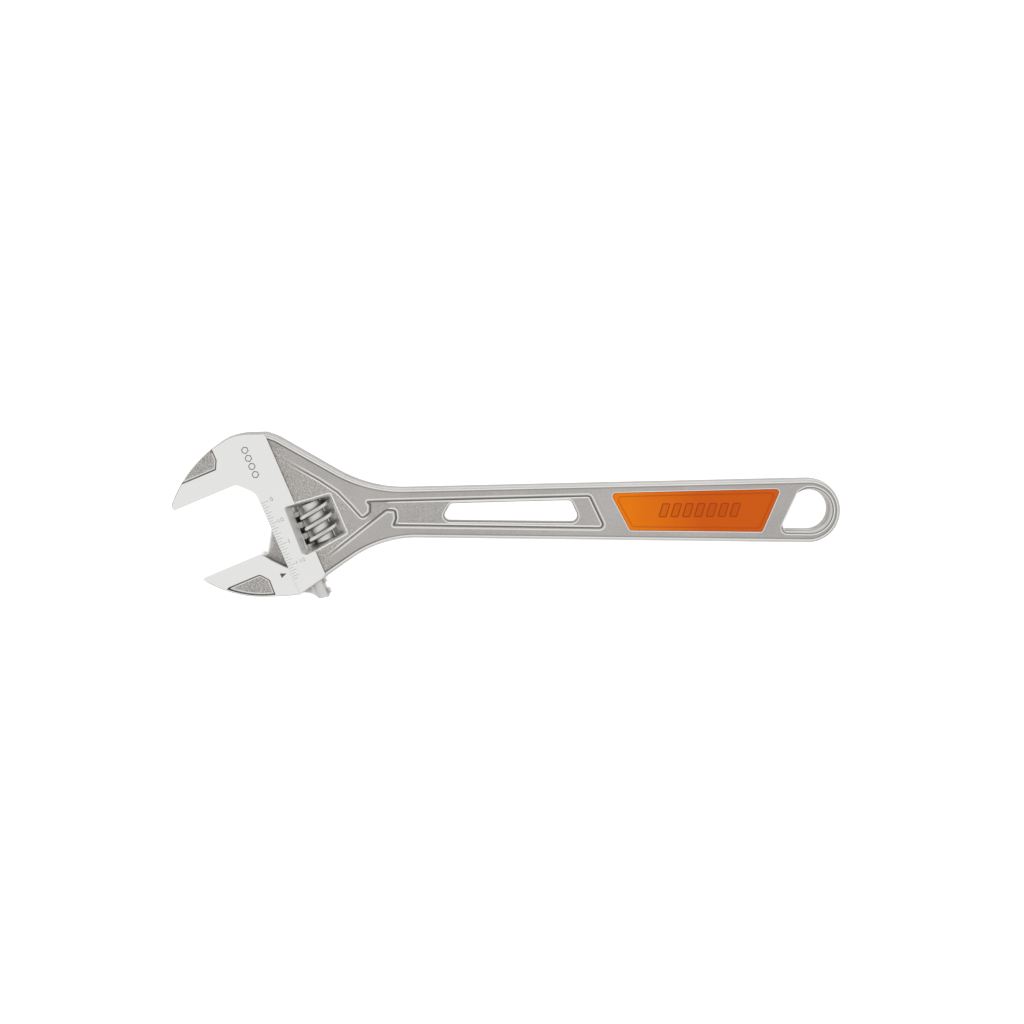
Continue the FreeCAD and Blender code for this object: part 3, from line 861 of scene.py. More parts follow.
def jaw_finish_and_painted_light(places, normals, depth_in):
    """Polish on the jaw's faces, grain in its pocket and on the web, painted highlights on the pocket's
    fillet, the web's edge, the rail and the teeth, and painted shade on the pocket's walls, the flanks and
    the rack's gaps.
    """
    u, v = jaw_frame(places[:, :2])
    facing = np.abs(normals[:, 2])
    pocket = depth_in(movable_jaw_pocket())
    block = depth_in(jaw_block_outline())
    web = depth_in(web_outline())
    face = (np.abs(places[:, 2]) > HEAD_HALF - 0.6) & (facing > 0.9)
    grip = (facing < 0.3) & (v > MOVABLE_FACE_V - 1) & (u < -137)
    polish = ((face & (pocket < 0.02)) | grip).astype(float)
    on_web = (np.abs(places[:, 2]) < WEB_HALF + 0.1) & (block < 0.05) & (u < -119.8)
    grain = np.maximum(smooth(pocket, 0.7, 1.3) * (facing > 0.5), (on_web & (facing > 0.7)) * 0.9)
    # painted highlights on the pocket's fillet, the web's edge, the rail and the rack's tips
    pocket_edge = stripe(pocket, 0.9, 1.05, 1.2, 1.4)
    web_edge = on_web * (1 - smooth(web, 0.7, 1.2))
    rail = (u > -119.8) & (np.abs(places[:, 2]) < RAIL_R + 0.1)
    tips = rail & (u > -109.3)
    painted_highlight = np.maximum.reduce([pocket_edge, 0.85 * web_edge, 0.95 * tips, 0.5 * rail])
    # painted shade in the rack's gaps, on the pocket's walls and on the block's flanks
    in_gap = rail & (u < RACK_ROOT_U + 1.2) & (u > RACK_ROOT_U - 0.1)
    pocket_dark = stripe(pocket, -0.02, 0.05, 0.6, 0.9)
    flank = 0.5 * (facing < 0.4) * (block < 0.2) * (v < MOVABLE_FACE_V - 1) * (u < -126.5)
    return polish, grain, painted_highlight, np.maximum.reduce([0.95 * pocket_dark, 0.5 * in_gap, flank])


def forge_jaw():
    sizes = bpy.context.scene.wrench_forging
    outline = jaw_block_outline()
    pocket = movable_jaw_pocket()
    rings = drawn_rings(outline, (0.05, 0.14, 0.28, 0.5, 0.85))
    rings += drawn_rings(pocket, POCKET_RINGS)
    flat, triangles = net(outline, [], rings, 2.0)
    u, v = jaw_frame(flat)
    ground = (v > 28.0) | (u > SEAT_JAW_U - 1.0)
    half = POLISHED_HALF - rounding(depth_inside(flat, outline), np.where(ground, 0.06, 0.85))
    into_pocket = np.clip(depth_inside(flat, pocket) / POCKET_WALL, 0, 1)
    half = half - 1000 * sizes.jaw_pocket_depth * (1 - (1 - into_pocket) ** 2.4)
    block = new_object("movable_jaw_forging", *plate(flat, triangles, half, -half, 0 * half))

    outline = web_outline()
    rings = drawn_rings(outline, (0.05, 0.15, 0.32, 0.6, 1.0))
    flat, triangles = net(outline, [], rings, 2.0)
    half = WEB_HALF - rounding(depth_inside(flat, outline), 0.7)
    web = new_object("web", *plate(flat, triangles, half, -half, 0 * half))
    rail = combined(new_object("rail", *jaw_rail()), [rail_trim()], "DIFFERENCE")
    combined(block, [web, rail], "UNION")
    mark_finishes_and_painted_light(block, jaw_finish_and_painted_light)
    block.data.materials.append(forged_steel("jaw_steel", bpy.context.scene.wrench_finish))
    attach(block, "sliding_jaw")
    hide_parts("movable_jaw")


# ---- worm ----
def worm_thread(steps_a_tooth=4):
    """The thread's outline, a rib with a crowned and knurled crest, carried round a helix: each
    step turns it by a share of a knurl tooth and lifts it by the same share of the lead. It starts
    at the back, so that it lies in the gaps of the rack."""
    sizes = bpy.context.scene.wrench_forging
    steps = THREAD_TURNS * SERRATIONS * steps_a_tooth + 1
    turn = np.arange(steps) / (SERRATIONS * steps_a_tooth)
    inside = WORM_CORE_R - 0.5
    root = WORM_CORE_R + np.array([0.1, 0.45, 1.0])
    crest_r = np.array([8.55, 8.95, WORM_R])
    half_outline = np.concatenate([[inside], root, crest_r])
    outline_r = np.concatenate([half_outline, half_outline[::-1]])
    outline_v = np.array([-1.9, -1.9, -1.4, -1.17, -0.98, -0.86, -0.5, 0.5, 0.86, 0.98, 1.17, 1.4, 1.9, 1.9])
    crest = smooth(outline_r, 8.5, WORM_R)
    tooth = 0.5 - 0.5 * np.cos(turn * SERRATIONS * 2 * math.pi)
    radius = outline_r[None] - 1000 * sizes.knurl_depth * tooth[:, None] * crest[None]
    angle = -math.pi / 2 - 2 * math.pi * turn[:, None]
    height = THREAD_START_V + WORM_LEAD * turn[:, None] + outline_v[None]
    height = np.clip(height, WORM_LOW_V + 0.02, WORM_TOP_V - 0.02)
    points = np.stack([radius * np.cos(angle), -radius * np.sin(angle), height + 0 * radius], -1)
    columns = len(outline_r)
    return capped(points.reshape(-1, 3), tube_faces(steps, columns), steps, columns)


def worm_barrel(around=96):
    """The worm's core: one outline of radius and height, through the bore, the spring's pocket and
    the rounded outer ends, carried round the axis."""
    low, top = WORM_LOW_V, WORM_TOP_V
    bore = PIN_R + PIN_GAP
    floor = top - SPRING_POCKET_DEPTH
    outline_r = np.array([
        bore, bore + 0.3, WORM_CORE_R - 0.35, WORM_CORE_R, WORM_CORE_R, WORM_CORE_R - 0.35,
        SPRING_POCKET_R + 0.15, SPRING_POCKET_R, SPRING_POCKET_R, bore,
    ])
    outline_v = np.array([low + 0.3, low, low, low + 0.35, top - 0.35, top, top, top - 0.15, floor, floor])
    angle = (np.arange(around) * (2 * math.pi / around))[:, None]
    points = np.stack([outline_r * np.cos(angle), -outline_r * np.sin(angle), outline_v + 0 * angle], -1)
    return points.reshape(-1, 3), tube_faces(around, len(outline_r), closed_rows=True)


def outward_facing(made):
    """Turns a closed mesh the right way out if the volume under its faces is negative."""
    mesh = made.data
    places = np.zeros(len(mesh.vertices) * 3)
    mesh.vertices.foreach_get("co", places)
    corners = np.zeros(len(mesh.loops), int)
    mesh.loops.foreach_get("vertex_index", corners)
    a, b, c = places.reshape(-1, 3)[corners.reshape(-1, 3)].transpose(1, 0, 2)
    if (a * np.cross(b, c)).sum() < 0:
        mesh.flip_normals()
    return made


def worm_finish_and_painted_light(places, normals, depth_in):
    """Painted highlight on crests and barrel, painted shade in the thread's flanks near the root, and grain
    on the crests.
    """
    u, v = jaw_frame(places[:, :2])
    radius = np.hypot(u - WORM_U, places[:, 2])
    crest = smooth(radius, 8.4, 8.9)
    flank = stripe(radius, WORM_CORE_R + 0.4, WORM_CORE_R + 0.9, 7.4, 8.4)
    barrel_part = 1 - smooth(radius, WORM_CORE_R + 0.1, WORM_CORE_R + 0.5)
    return 0 * v, 0.6 * crest, np.maximum(0.7 * crest, 0.6 * barrel_part), 0.4 * flank


def turn_worm():
    thread_points, thread_faces = worm_thread()
    barrel_points, barrel_faces = worm_barrel()
    worm = outward_facing(new_object("knurled_worm", onto_worm_axis(thread_points), thread_faces))
    barrel = outward_facing(new_object("barrel", onto_worm_axis(barrel_points), barrel_faces))
    combined(worm, [barrel], "UNION")

    mark_finishes_and_painted_light(worm, worm_finish_and_painted_light)
    worm.data.materials.append(forged_steel("worm_steel", bpy.context.scene.wrench_finish))
    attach(worm, "adjusting_worm")
    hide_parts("worm")


# ---- inlays, adhesive, pin and spring ----
def pattern_bars():
    """Seven slanted bars in the middle of the inlay, a plain pattern in place of lettering."""
    bars = []
    for i in range(7):
        left = 84.5 + i * 6.6
        bars.append(trace([
            (left, -2.9, 0.5), (left + 4.0, -2.9, 0.5), (left + 6.2, 4.5, 0.5), (left + 2.2, 4.5, 0.5),
        ]))
    return bars


def inlay_surface(side):
    """The inlay's panel: a rounded border, a panel sunk inside it and raised bars, each a smooth
    step over the distance to its own outline. The hidden face is flat."""
    sizes = bpy.context.scene.wrench_forging
    outline = inlay_outline(INLAY_GAP)
    border = inlay_outline(INLAY_GAP + 1000 * sizes.inlay_border)
    bars = pattern_bars()
    rings = drawn_rings(outline, (0.05, 0.13, 0.25, 0.45, 0.8))
    rings += drawn_rings(border, (-0.3, -0.15, 0.0, 0.2, 0.4, 0.6))
    for pattern_bar in bars:
        rings += drawn_rings(pattern_bar, (-0.38, -0.2, -0.05, 0.1, 0.25, 0.45))
    flat, triangles = net(outline, [], rings, 3.0)
    low = HANDLE_HALF - INLAY_RECESS_DEPTH + ADHESIVE
    top = low + INLAY_THICK - rounding(depth_inside(flat, outline), 0.45)
    top = top - 0.5 * smooth(depth_inside(flat, border), -0.3, 0.6)
    for pattern_bar in bars:
        top = top + 0.42 * smooth(depth_inside(flat, pattern_bar), -0.2, 0.4)
    points, faces = plate(flat, triangles, top, np.full(len(flat), low), 0 * top)
    if side < 0:
        return points * np.array([1, 1, -1]), faces[:, ::-1]
    return points, faces


def relief_walls(places):
    """Painted shade on the inlay's relief: 1 on the walls of the inlay's bars and of its border, falling to 0
    on either side.
    """
    flat = places[:, :2]
    border = inlay_outline(INLAY_GAP + 1000 * bpy.context.scene.wrench_forging.inlay_border)
    depth = depth_inside(flat, border)
    walls = 0.45 * stripe(depth, -0.3, -0.15, 0.2, 0.5)
    for pattern_bar in pattern_bars():
        depth = depth_inside(flat, pattern_bar)
        walls = np.maximum(walls, 0.9 * stripe(depth, -0.35, -0.1, 0.2, 0.45))
        walls = np.maximum(walls, 0.25 * smooth(depth, 0.2, 0.45))
    return walls


def mould_inlays():
    plastic = orange_plastic("inlay_plastic", bpy.context.scene.wrench_finish)
    for name, node, side in (("front_panel", "front_inlay", 1), ("rear_panel", "rear_inlay", -1)):
        panel = new_object(name, *inlay_surface(side))
        places, corners, _ = in_drawing_frame(panel.data)
        layer = panel.data.attributes.new("relief", "FLOAT", "CORNER")
        layer.data.foreach_set("value", relief_walls(places)[corners].astype(np.float32))
        smooth_shading(panel.data, 40)
        panel.data.materials.append(plastic)
        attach(panel, "handle_and_fixed_jaw")
        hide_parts(node)


def set_material(node, material):
    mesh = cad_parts[node].data
    mesh.materials.clear()
    mesh.materials.append(material)


def finish_hidden_pieces():
    colours = bpy.context.scene.wrench_finish
    film = adhesive_film("adhesive_film", colours)
    for node in ("front_inlay_adhesive", "rear_inlay_adhesive"):
        set_material(node, film)
    set_material("worm_pin", turned_steel("pin_steel", (0.42, 0.42, 0.41), 0.32, 900.0))
    set_material("worm_spring", turned_steel("spring_steel", (0.36, 0.35, 0.34), 0.28, 2400.0))


# ---- marks ----
def tick(index):
    """One scale line as a thin bar from the seat inwards; every second one is longer."""
    v = ZERO_TICK_V - index * TICK_PITCH
    length = 4.1 if index % 2 == 0 else 2.7
    if index % 8 == 0:
        length = 4.9
    near, far = SEAT_U + TICK_START, SEAT_U + length
    low, high = v - TICK_HALF, v + TICK_HALF
    corners = in_jaw_frame([(near, low), (far, low), (far, high), (near, high)])
    return prism(corners, MARK_FOOT, MARK_TOP)


def numeral(text, u, v, height):
    """A numeral's solid: Blender's own letter outlines given a thickness, made a mesh, turned to
    stand upright along v and moved to its place."""
    curve = bpy.data.curves.new(text, "FONT")
    curve.body = text
    curve.size = height
    curve.align_x = "CENTER"
    curve.align_y = "CENTER"
    curve.resolution_u = 3
    curve.extrude = (MARK_TOP - MARK_FOOT) / 2
    letters = bpy.data.objects.new(text, curve)
    bpy.context.scene.collection.objects.link(letters)
    bpy.context.view_layer.update()
    mesh = bpy.data.meshes.new_from_object(letters.evaluated_get(bpy.context.evaluated_depsgraph_get()))
    mesh.calc_loop_triangles()
    places = np.zeros(len(mesh.vertices) * 3)
    mesh.vertices.foreach_get("co", places)
    faces = np.zeros(len(mesh.loop_triangles) * 3, int)
    mesh.loop_triangles.foreach_get("vertices", faces)
    places = places.reshape(-1, 3)
    x, y = jaw(u + places[:, 0], v + places[:, 1])
    z = places[:, 2] + (MARK_TOP + MARK_FOOT) / 2
    bpy.data.objects.remove(letters)
    bpy.data.meshes.remove(mesh)
    return np.column_stack([x, y, z]), faces.reshape(-1, 3)


def nut_sign(u, v, across, line):
    """A six-sided ring, the sign of a nut: six corners at two radii and two heights, joined."""
    angle = np.arange(6) * (math.pi / 3) + math.pi / 6
    rows = []
    inner = across - line
    for radius, z in ((across, MARK_FOOT), (across, MARK_TOP), (inner, MARK_TOP), (inner, MARK_FOOT)):
        x, y = jaw(u + radius * np.cos(angle), v + radius * np.sin(angle))
        rows.append(np.column_stack([x, y, np.full(6, z)]))
    return np.concatenate(rows), tube_faces(4, 6, closed_rows=True)


def joined(solids):
    offsets = np.cumsum([0] + [len(points) for points, _ in solids])
    points = np.concatenate([points for points, _ in solids])
    return points, np.concatenate([faces + offset for (_, faces), offset in zip(solids, offsets)])


def etch_marks():
    colours = bpy.context.scene.wrench_finish
    light = etched("scale_etching", colours.scale_colour)
    dark = etched("sign_etching", colours.sign_colour)
    scale = [tick(i) for i in range(TICKS)]
    scale.append(numeral("0", -118.6, 58.4, 3.6))
    scale.append(numeral("1/2", -118.6, 45.7, 3.0))
    scale.append(numeral("1", -119.0, 33.0, 3.6))
    scale.append(numeral("1 1/2", -117.6, 20.3, 2.8))
    signs = [nut_sign(-121.4, 74.6 + 4.9 * i, 2.1, 0.5) for i in range(4)]
    triangle = in_jaw_frame([(-131.0, 18.3), (-131.0, 15.5), (-127.6, 16.9)])
    pointer = prism(triangle, MARK_FOOT, MARK_TOP)
    pieces = (
        ("scale_marks", joined(scale), light, "handle_and_fixed_jaw", "body_steel"),
        ("nut_signs", joined(signs), dark, "handle_and_fixed_jaw", "body_steel"),
        ("pointer_mark", pointer, dark, "sliding_jaw", "jaw_steel"),
    )
    for name, solid, material, body, slot in pieces:
        made = outward_facing(new_object(name, *solid))
        made.data.materials.append(material)
        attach(made, body)


# ---- finishes, with painted highlights, shade and sheen ----
def tree_of(name):
    material = bpy.data.materials.new(name)
    material.use_nodes = True
    tree = material.node_tree
    return material, tree, tree.nodes["Principled BSDF"]


def node(tree, kind, settings=(), inputs=()):
    """A shader node with its settings and inputs; an input may be a value or another's output."""
    made = tree.nodes.new(kind)
    for name, value in dict(settings).items():
        setattr(made, name, value)
    for name, value in dict(inputs).items():
        if isinstance(value, bpy.types.NodeSocket):
            tree.links.new(value, made.inputs[name])
        else:
            made.inputs[name].default_value = value
    return made


def noise(tree, scale, detail=2.0, stretch=(1.0, 1.0, 1.0)):
    """Noise over the piece's own coordinates, drawn out along an axis by a stretch below one."""
    place = node(tree, "ShaderNodeTexCoord").outputs["Object"]
    drawn_out = node(tree, "ShaderNodeMapping", {}, {"Vector": place, "Scale": stretch}).outputs["Vector"]
    inputs = {"Vector": drawn_out, "Scale": scale, "Detail": detail}
    return node(tree, "ShaderNodeTexNoise", {}, inputs).outputs["Fac"]


def remap(tree, value, low, high, to_low, to_high):
    inputs = {"Value": value, "From Min": low, "From Max": high, "To Min": to_low, "To Max": to_high}
    return node(tree, "ShaderNodeMapRange", {"clamp": True}, inputs).outputs["Result"]


def blended(tree, share, first, second):
    made = tree.nodes.new("ShaderNodeMix")
    made.data_type = "RGBA"
    for socket, value in ((made.inputs[0], share), (made.inputs[6], first), (made.inputs[7], second)):
        if isinstance(value, bpy.types.NodeSocket):
            tree.links.new(value, socket)
        else:
            socket.default_value = value
    return made.outputs[2]


def maths(tree, operation, first, second):
    made = node(tree, "ShaderNodeMath", {"operation": operation})
    for socket, value in zip(made.inputs, (first, second)):
        if isinstance(value, bpy.types.NodeSocket):
            tree.links.new(value, socket)
        else:
            socket.default_value = value
    return made.outputs[0]


def mottled(tree, shader, texture, low, high, share, first, second):
    """Paints a shader with the first colour, and up to a share of the second where the texture is high."""
    spots = remap(tree, texture, low, high, 0.0, share)
    tree.links.new(blended(tree, spots, first, second), shader.inputs["Base Color"])


def attribute(tree, name):
    return node(tree, "ShaderNodeAttribute", {"attribute_name": name}).outputs["Fac"]


def colour(value):
    return (*value[:3], 1.0)


def forged_steel(name, colours):
    """Satin plated steel that is polished or grained, with painted highlights and painted shade where the
    mesh says.
    """
    material, tree, shader = tree_of(name)
    polish = attribute(tree, "polish")
    grain = attribute(tree, "grain")
    painted_highlight = attribute(tree, "painted_highlight")
    dark = attribute(tree, "dark")
    fine = noise(tree, 2500.0, 3.0)
    coarse = noise(tree, 900.0, 2.0)
    cloud = noise(tree, 30.0, 2.0)

    drift = remap(tree, cloud, 0.3, 0.7, 0.0, 1.0)
    satin = blended(tree, drift, colour(colours.satin_low), colour(colours.satin_high))
    satin = blended(tree, remap(tree, fine, 0.3, 0.7, 0.0, 0.25), satin, (0.30, 0.29, 0.28, 1.0))
    tops = remap(tree, fine, 0.38, 0.62, 0.0, 1.0)
    speck = blended(tree, tops, colour(colours.grain_low), colour(colours.grain_high))
    speck = blended(tree, remap(tree, coarse, 0.35, 0.65, 0.0, 0.3), speck, colour(colours.satin_low))
    shade = blended(tree, grain, satin, speck)
    shade = blended(tree, polish, shade, colour(colours.polished))
    # painted highlights, then painted shade, laid over the steel's colour
    shade = blended(tree, painted_highlight, shade, colour(colours.painted_highlight))
    shade = blended(tree, dark, shade, colour(colours.painted_shade))
    tree.links.new(shade, shader.inputs["Base Color"])

    matt = maths(tree, "SUBTRACT", 1.0, polish)
    uneven = maths(tree, "MULTIPLY", remap(tree, fine, 0.3, 0.7, 0.1, 0.22), matt)
    rough = maths(tree, "ADD", uneven, 0.28)
    rough = maths(tree, "ADD", rough, maths(tree, "MULTIPLY", grain, 0.12))
    rough = maths(tree, "SUBTRACT", rough, maths(tree, "MULTIPLY", painted_highlight, 0.12))
    tree.links.new(rough, shader.inputs["Roughness"])
    shader.inputs["Metallic"].default_value = 0.82

    brushed = noise(tree, 900.0, 2.0, (0.08, 1.0, 1.0))
    height = maths(tree, "MULTIPLY", fine, maths(tree, "MULTIPLY", maths(tree, "ADD", grain, 0.12), matt))
    scratches = maths(tree, "MULTIPLY", brushed, maths(tree, "MULTIPLY", polish, 0.03))
    height = maths(tree, "ADD", height, scratches)
    bump = node(tree, "ShaderNodeBump", {}, {"Height": height, "Strength": 0.4, "Distance": 0.0002})
    tree.links.new(bump.outputs["Normal"], shader.inputs["Normal"])
    return material


def turned_steel(name, shade, roughness, scale):
    """Plain bright steel with the fine rings and specks that turning or drawing leaves."""
    material, tree, shader = tree_of(name)
    fine = noise(tree, scale, 3.0)
    darker = colour([part * 0.6 for part in shade])
    mottled(tree, shader, fine, 0.35, 0.65, 0.7, colour(shade), darker)
    tree.links.new(remap(tree, fine, 0.3, 0.7, roughness - 0.06, roughness + 0.1), shader.inputs["Roughness"])
    shader.inputs["Metallic"].default_value = 1.0
    bump = node(tree, "ShaderNodeBump", {}, {"Height": fine, "Strength": 0.3, "Distance": 0.0001})
    tree.links.new(bump.outputs["Normal"], shader.inputs["Normal"])
    return material


def orange_plastic(name, colours):
    """Glossy moulded plastic: a painted sheen, lighter orange nearer the head fading to deeper orange, made
    uneven by slow noise, and a faint orange-peel surface.
    """
    material, tree, shader = tree_of(name)
    cloud = noise(tree, 22.0, 2.0)
    peel = noise(tree, 700.0, 2.0)
    place = node(tree, "ShaderNodeTexCoord").outputs["Object"]
    along = node(tree, "ShaderNodeSeparateXYZ", {}, {"Vector": place}).outputs["X"]
    # painted sheen: lighter orange nearer the head, deeper further along the handle
    uneven = maths(tree, "ADD", along, maths(tree, "MULTIPLY", cloud, 0.03))
    drift = remap(tree, uneven, 0.09, 0.125, 0.0, 1.0)
    shade = blended(tree, drift, colour(colours.orange), colour(colours.orange_away_from_sheen))
    # painted shade on the walls of the relief
    shade = blended(tree, attribute(tree, "relief"), shade, colour(colours.orange_shadow))
    tree.links.new(shade, shader.inputs["Base Color"])
    tree.links.new(remap(tree, peel, 0.3, 0.7, 0.16, 0.26), shader.inputs["Roughness"])
    shader.inputs["Specular IOR Level"].default_value = 0.09
    bump = node(tree, "ShaderNodeBump", {}, {"Height": peel, "Strength": 0.12, "Distance": 0.00008})
    tree.links.new(bump.outputs["Normal"], shader.inputs["Normal"])
    return material


def adhesive_film(name, colours):
    """Cloudy double-sided film, slightly yellow."""
    material, tree, shader = tree_of(name)
    cloud = noise(tree, 260.0, 3.0)
    pale = colour(colours.film)
    darker = colour([part * 0.7 for part in colours.film])
    mottled(tree, shader, cloud, 0.35, 0.65, 1.0, pale, darker)
    tree.links.new(remap(tree, cloud, 0.3, 0.7, 0.45, 0.65), shader.inputs["Roughness"])
    return material


def etched(name, shade):
    """Matt etching, uneven where the surface was bitten less."""
    material, tree, shader = tree_of(name)
    fine = noise(tree, 2600.0, 2.0)
    lighter = colour([min(1.0, part * 1.7) for part in shade])
    mottled(tree, shader, fine, 0.35, 0.65, 0.6, colour(shade), lighter)
    tree.links.new(remap(tree, fine, 0.3, 0.7, 0.5, 0.7), shader.inputs["Roughness"])
    shader.inputs["Metallic"].default_value = 0.6
    return material


# ---- stage ----
def softbox(name, place, size, power):
    """A long area light that faces the frame's origin, which lies under the wrench."""
    light = bpy.data.lights.new(name, "AREA")
    light.shape = "RECTANGLE"
    light.size, light.size_y = size
    light.energy = power
    made = bpy.data.objects.new(name, light)
    made.location = place
    made.rotation_euler = (-Vector(place)).to_track_quat("-Z", "Y").to_euler()
    bpy.context.scene.collection.objects.link(made)


def pale_world(strength, horizon):
    """A soft sky, bright overhead and dimmer towards the horizon, from the direction's height."""
    world = bpy.data.worlds.new("studio")
    world.use_nodes = True
    bpy.context.scene.world = world
    tree = world.node_tree
    direction = node(tree, "ShaderNodeTexCoord").outputs["Generated"]
    height = node(tree, "ShaderNodeSeparateXYZ", {}, {"Vector": direction}).outputs["Z"]
    level = remap(tree, height, 0.0, 0.9, horizon, 1.0)
    background = tree.nodes["Background"]
    tree.links.new(level, background.inputs["Color"])
    background.inputs["Strength"].default_value = strength


def set_stage():
    stage = bpy.context.scene.wrench_stage
    half = 12.0
    corners = np.array([(-half, -half, 0.0), (half, -half, 0.0), (half, half, 0.0), (-half, half, 0.0)])
    mesh = bpy.data.meshes.new("floor")
    mesh.from_pydata(corners.tolist(), [], [(0, 1, 2, 3)])
    floor = bpy.data.objects.new("floor", mesh)
    bpy.context.scene.collection.objects.link(floor)
    material, tree, shader = tree_of("pale_floor")
    dust = noise(tree, 60.0, 2.0)
    pale = colour(stage.floor_colour)
    mottled(tree, shader, dust, 0.3, 0.7, 0.02, pale, (0.9, 0.9, 0.9, 1.0))
    shader.inputs["Roughness"].default_value = 0.9
    shader.inputs["Specular IOR Level"].default_value = 0.0
    shader.inputs["Emission Color"].default_value = pale
    shader.inputs["Emission Strength"].default_value = stage.floor_glow
    mesh.materials.append(material)

    pale_world(stage.sky_strength, stage.horizon_level)
    softbox("long_box_far", (0.0, 1.1, 0.55), (1.6, 0.35), stage.box_power)
    softbox("long_box_near", (0.0, -1.1, 0.5), (1.6, 0.3), stage.box_power * 0.6)

    camera_data = bpy.data.cameras.new("camera")
    camera_data.lens = stage.lens
    camera_data.sensor_width = 36.0
    camera_data.clip_start = 0.01
    camera_data.clip_end = 60.0
    camera = bpy.data.objects.new("camera", camera_data)
    origin_x, origin_y, _ = row_shift() / 1000
    aim = Vector((origin_x + stage.aim_x, origin_y + stage.aim_y, 0.017))
    back = Vector((0.0, math.sin(stage.camera_tilt), math.cos(stage.camera_tilt)))
    across = Vector((math.cos(stage.camera_roll), math.sin(stage.camera_roll), 0.0))
    upwards = back.cross(across)
    turn = Matrix((across, upwards.normalized(), back)).transposed()
    camera.matrix_world = Matrix.Translation(aim + back * stage.camera_distance) @ turn.to_4x4()
    bpy.context.scene.collection.objects.link(camera)
    bpy.context.scene.camera = camera
    bpy.context.scene.view_settings.view_transform = "Standard"


# ---- settings shown in the sidebar ----
def length(name, description, default, low=0.0, high=0.1):
    return bpy.props.FloatProperty(
        name=name, description=description, default=default, min=low, max=high,
        subtype="DISTANCE", unit="LENGTH", precision=5,
    )


def shade_property(name, description, default):
    return bpy.props.FloatVectorProperty(
        name=name, description=description, default=default, size=3, min=0.0, max=1.0, subtype="COLOR",
    )


class WrenchForging(bpy.types.PropertyGroup):
    """Sizes of the looks that the CAD frame leaves open."""
    edge_rounding: length("Edge rounding", "Rounding of the handle's forged edges", 0.0018)
    rim_drop: length("Rim drop", "How far the handle's faces lie below their rim", 0.00028)
    jaw_pocket_depth: length("Jaw pocket depth", "Depth of the sunk grainy panels on the jaws", 0.0013)
    knurl_depth: length("Knurl depth", "Depth of the notches across the worm's thread", 0.00034)
    inlay_border: length("Inlay border", "Width of the raised border round each inlay", 0.0019)


class WrenchFinishAndPaintedLight(bpy.types.PropertyGroup):
    """Colours of the steel, the plastic and the marks, with the painted highlight, shade and sheen colours.
    """
    satin_low: shade_property("Satin, dark", "Darker part of the satin steel", (0.405, 0.39, 0.375))
    satin_high: shade_property("Satin, light", "Lighter part of the satin steel", (0.50, 0.482, 0.465))
    grain_low: shade_property("Grain, dark", "Hollows of the blasted panels", (0.20, 0.19, 0.178))
    grain_high: shade_property("Grain, light", "Tops of the blasted panels", (0.70, 0.678, 0.65))
    polished: shade_property("Polished", "Ground and polished steel", (0.775, 0.775, 0.765))
    # colour of the painted highlight on lit edges, fillets, crests and window walls
    painted_highlight: shade_property("Rubbed edge", "Edges worn bright", (0.86, 0.855, 0.84))
    # colour of the painted shade on walls, grooves, gaps and flanks
    painted_shade: shade_property("Crevice", "Walls that hold polishing dirt", (0.12, 0.115, 0.11))
    # orange and the deeper orange make the inlay's painted sheen, lighter nearer the head
    orange: shade_property("Orange", "Inlay plastic", (0.80, 0.19, 0.001))
    orange_away_from_sheen: shade_property("Deep orange", "Inlay plastic where it is thicker", (0.62, 0.10, 0.003))
    orange_shadow: shade_property("Orange shadow", "Walls of the inlay's relief", (0.36, 0.045, 0.003))
    film: shade_property("Film", "Adhesive film", (0.72, 0.68, 0.55))
    scale_colour: shade_property("Scale", "Etched lines and numerals", (0.30, 0.30, 0.30))
    sign_colour: shade_property("Signs", "Etched nut signs and pointer", (0.10, 0.085, 0.085))


class WrenchStage(bpy.types.PropertyGroup):
    """Camera, floor and light."""
    lens: bpy.props.FloatProperty(
        name="Lens", description="Focal length of the camera", default=70.2, subtype="DISTANCE_CAMERA",
    )
    camera_distance: length("Distance", "From the camera to the point it looks at", 1.118, 0.1, 10.0)
    camera_tilt: bpy.props.FloatProperty(
        name="Tilt", description="Lean of the camera away from straight above", default=math.radians(6.0),
        subtype="ANGLE", unit="ROTATION",
    )
    camera_roll: bpy.props.FloatProperty(
        name="Roll", description="Turn of the camera about its line of sight", default=math.radians(-0.31),
        subtype="ANGLE", unit="ROTATION",
    )
    aim_x: length("Aim x", "Point looked at, along the handle from the drawing's origin", 0.0025, -1.0, 1.0)
    aim_y: length("Aim y", "Point looked at, across the handle", 0.0004, -1.0, 1.0)
    floor_colour: shade_property("Floor", "Colour of the floor", (0.96, 0.96, 0.955))
    floor_glow: bpy.props.FloatProperty(
        name="Floor glow", description="Light given off by the floor, as by a lit table", default=0.6,
    )
    sky_strength: bpy.props.FloatProperty(name="Sky", description="Strength of the soft sky", default=1.0)
    horizon_level: bpy.props.FloatProperty(
        name="Horizon", description="Sky level at the horizon against overhead", default=0.6,
    )
    box_power: bpy.props.FloatProperty(
        name="Softboxes", description="Power of the long side softboxes", default=2.5, unit="POWER",
    )


# ---- operators, panel and registration ----
class WRENCH_OT_forge_body(bpy.types.Operator):
    """Forge the handle with its fixed jaw"""
    bl_idname = "wrench.forge_body"
    bl_label = "Forge body"

    def execute(self, context):
        forge_body()
        return {"FINISHED"}


class WRENCH_OT_forge_jaw(bpy.types.Operator):
    """Forge the movable jaw with its web and rack"""
    bl_idname = "wrench.forge_jaw"
    bl_label = "Forge movable jaw"

    def execute(self, context):
        forge_jaw()
        return {"FINISHED"}


class WRENCH_OT_turn_worm(bpy.types.Operator):
    """Turn and knurl the adjusting worm"""
    bl_idname = "wrench.turn_worm"
    bl_label = "Turn worm"

    def execute(self, context):
        turn_worm()
        return {"FINISHED"}


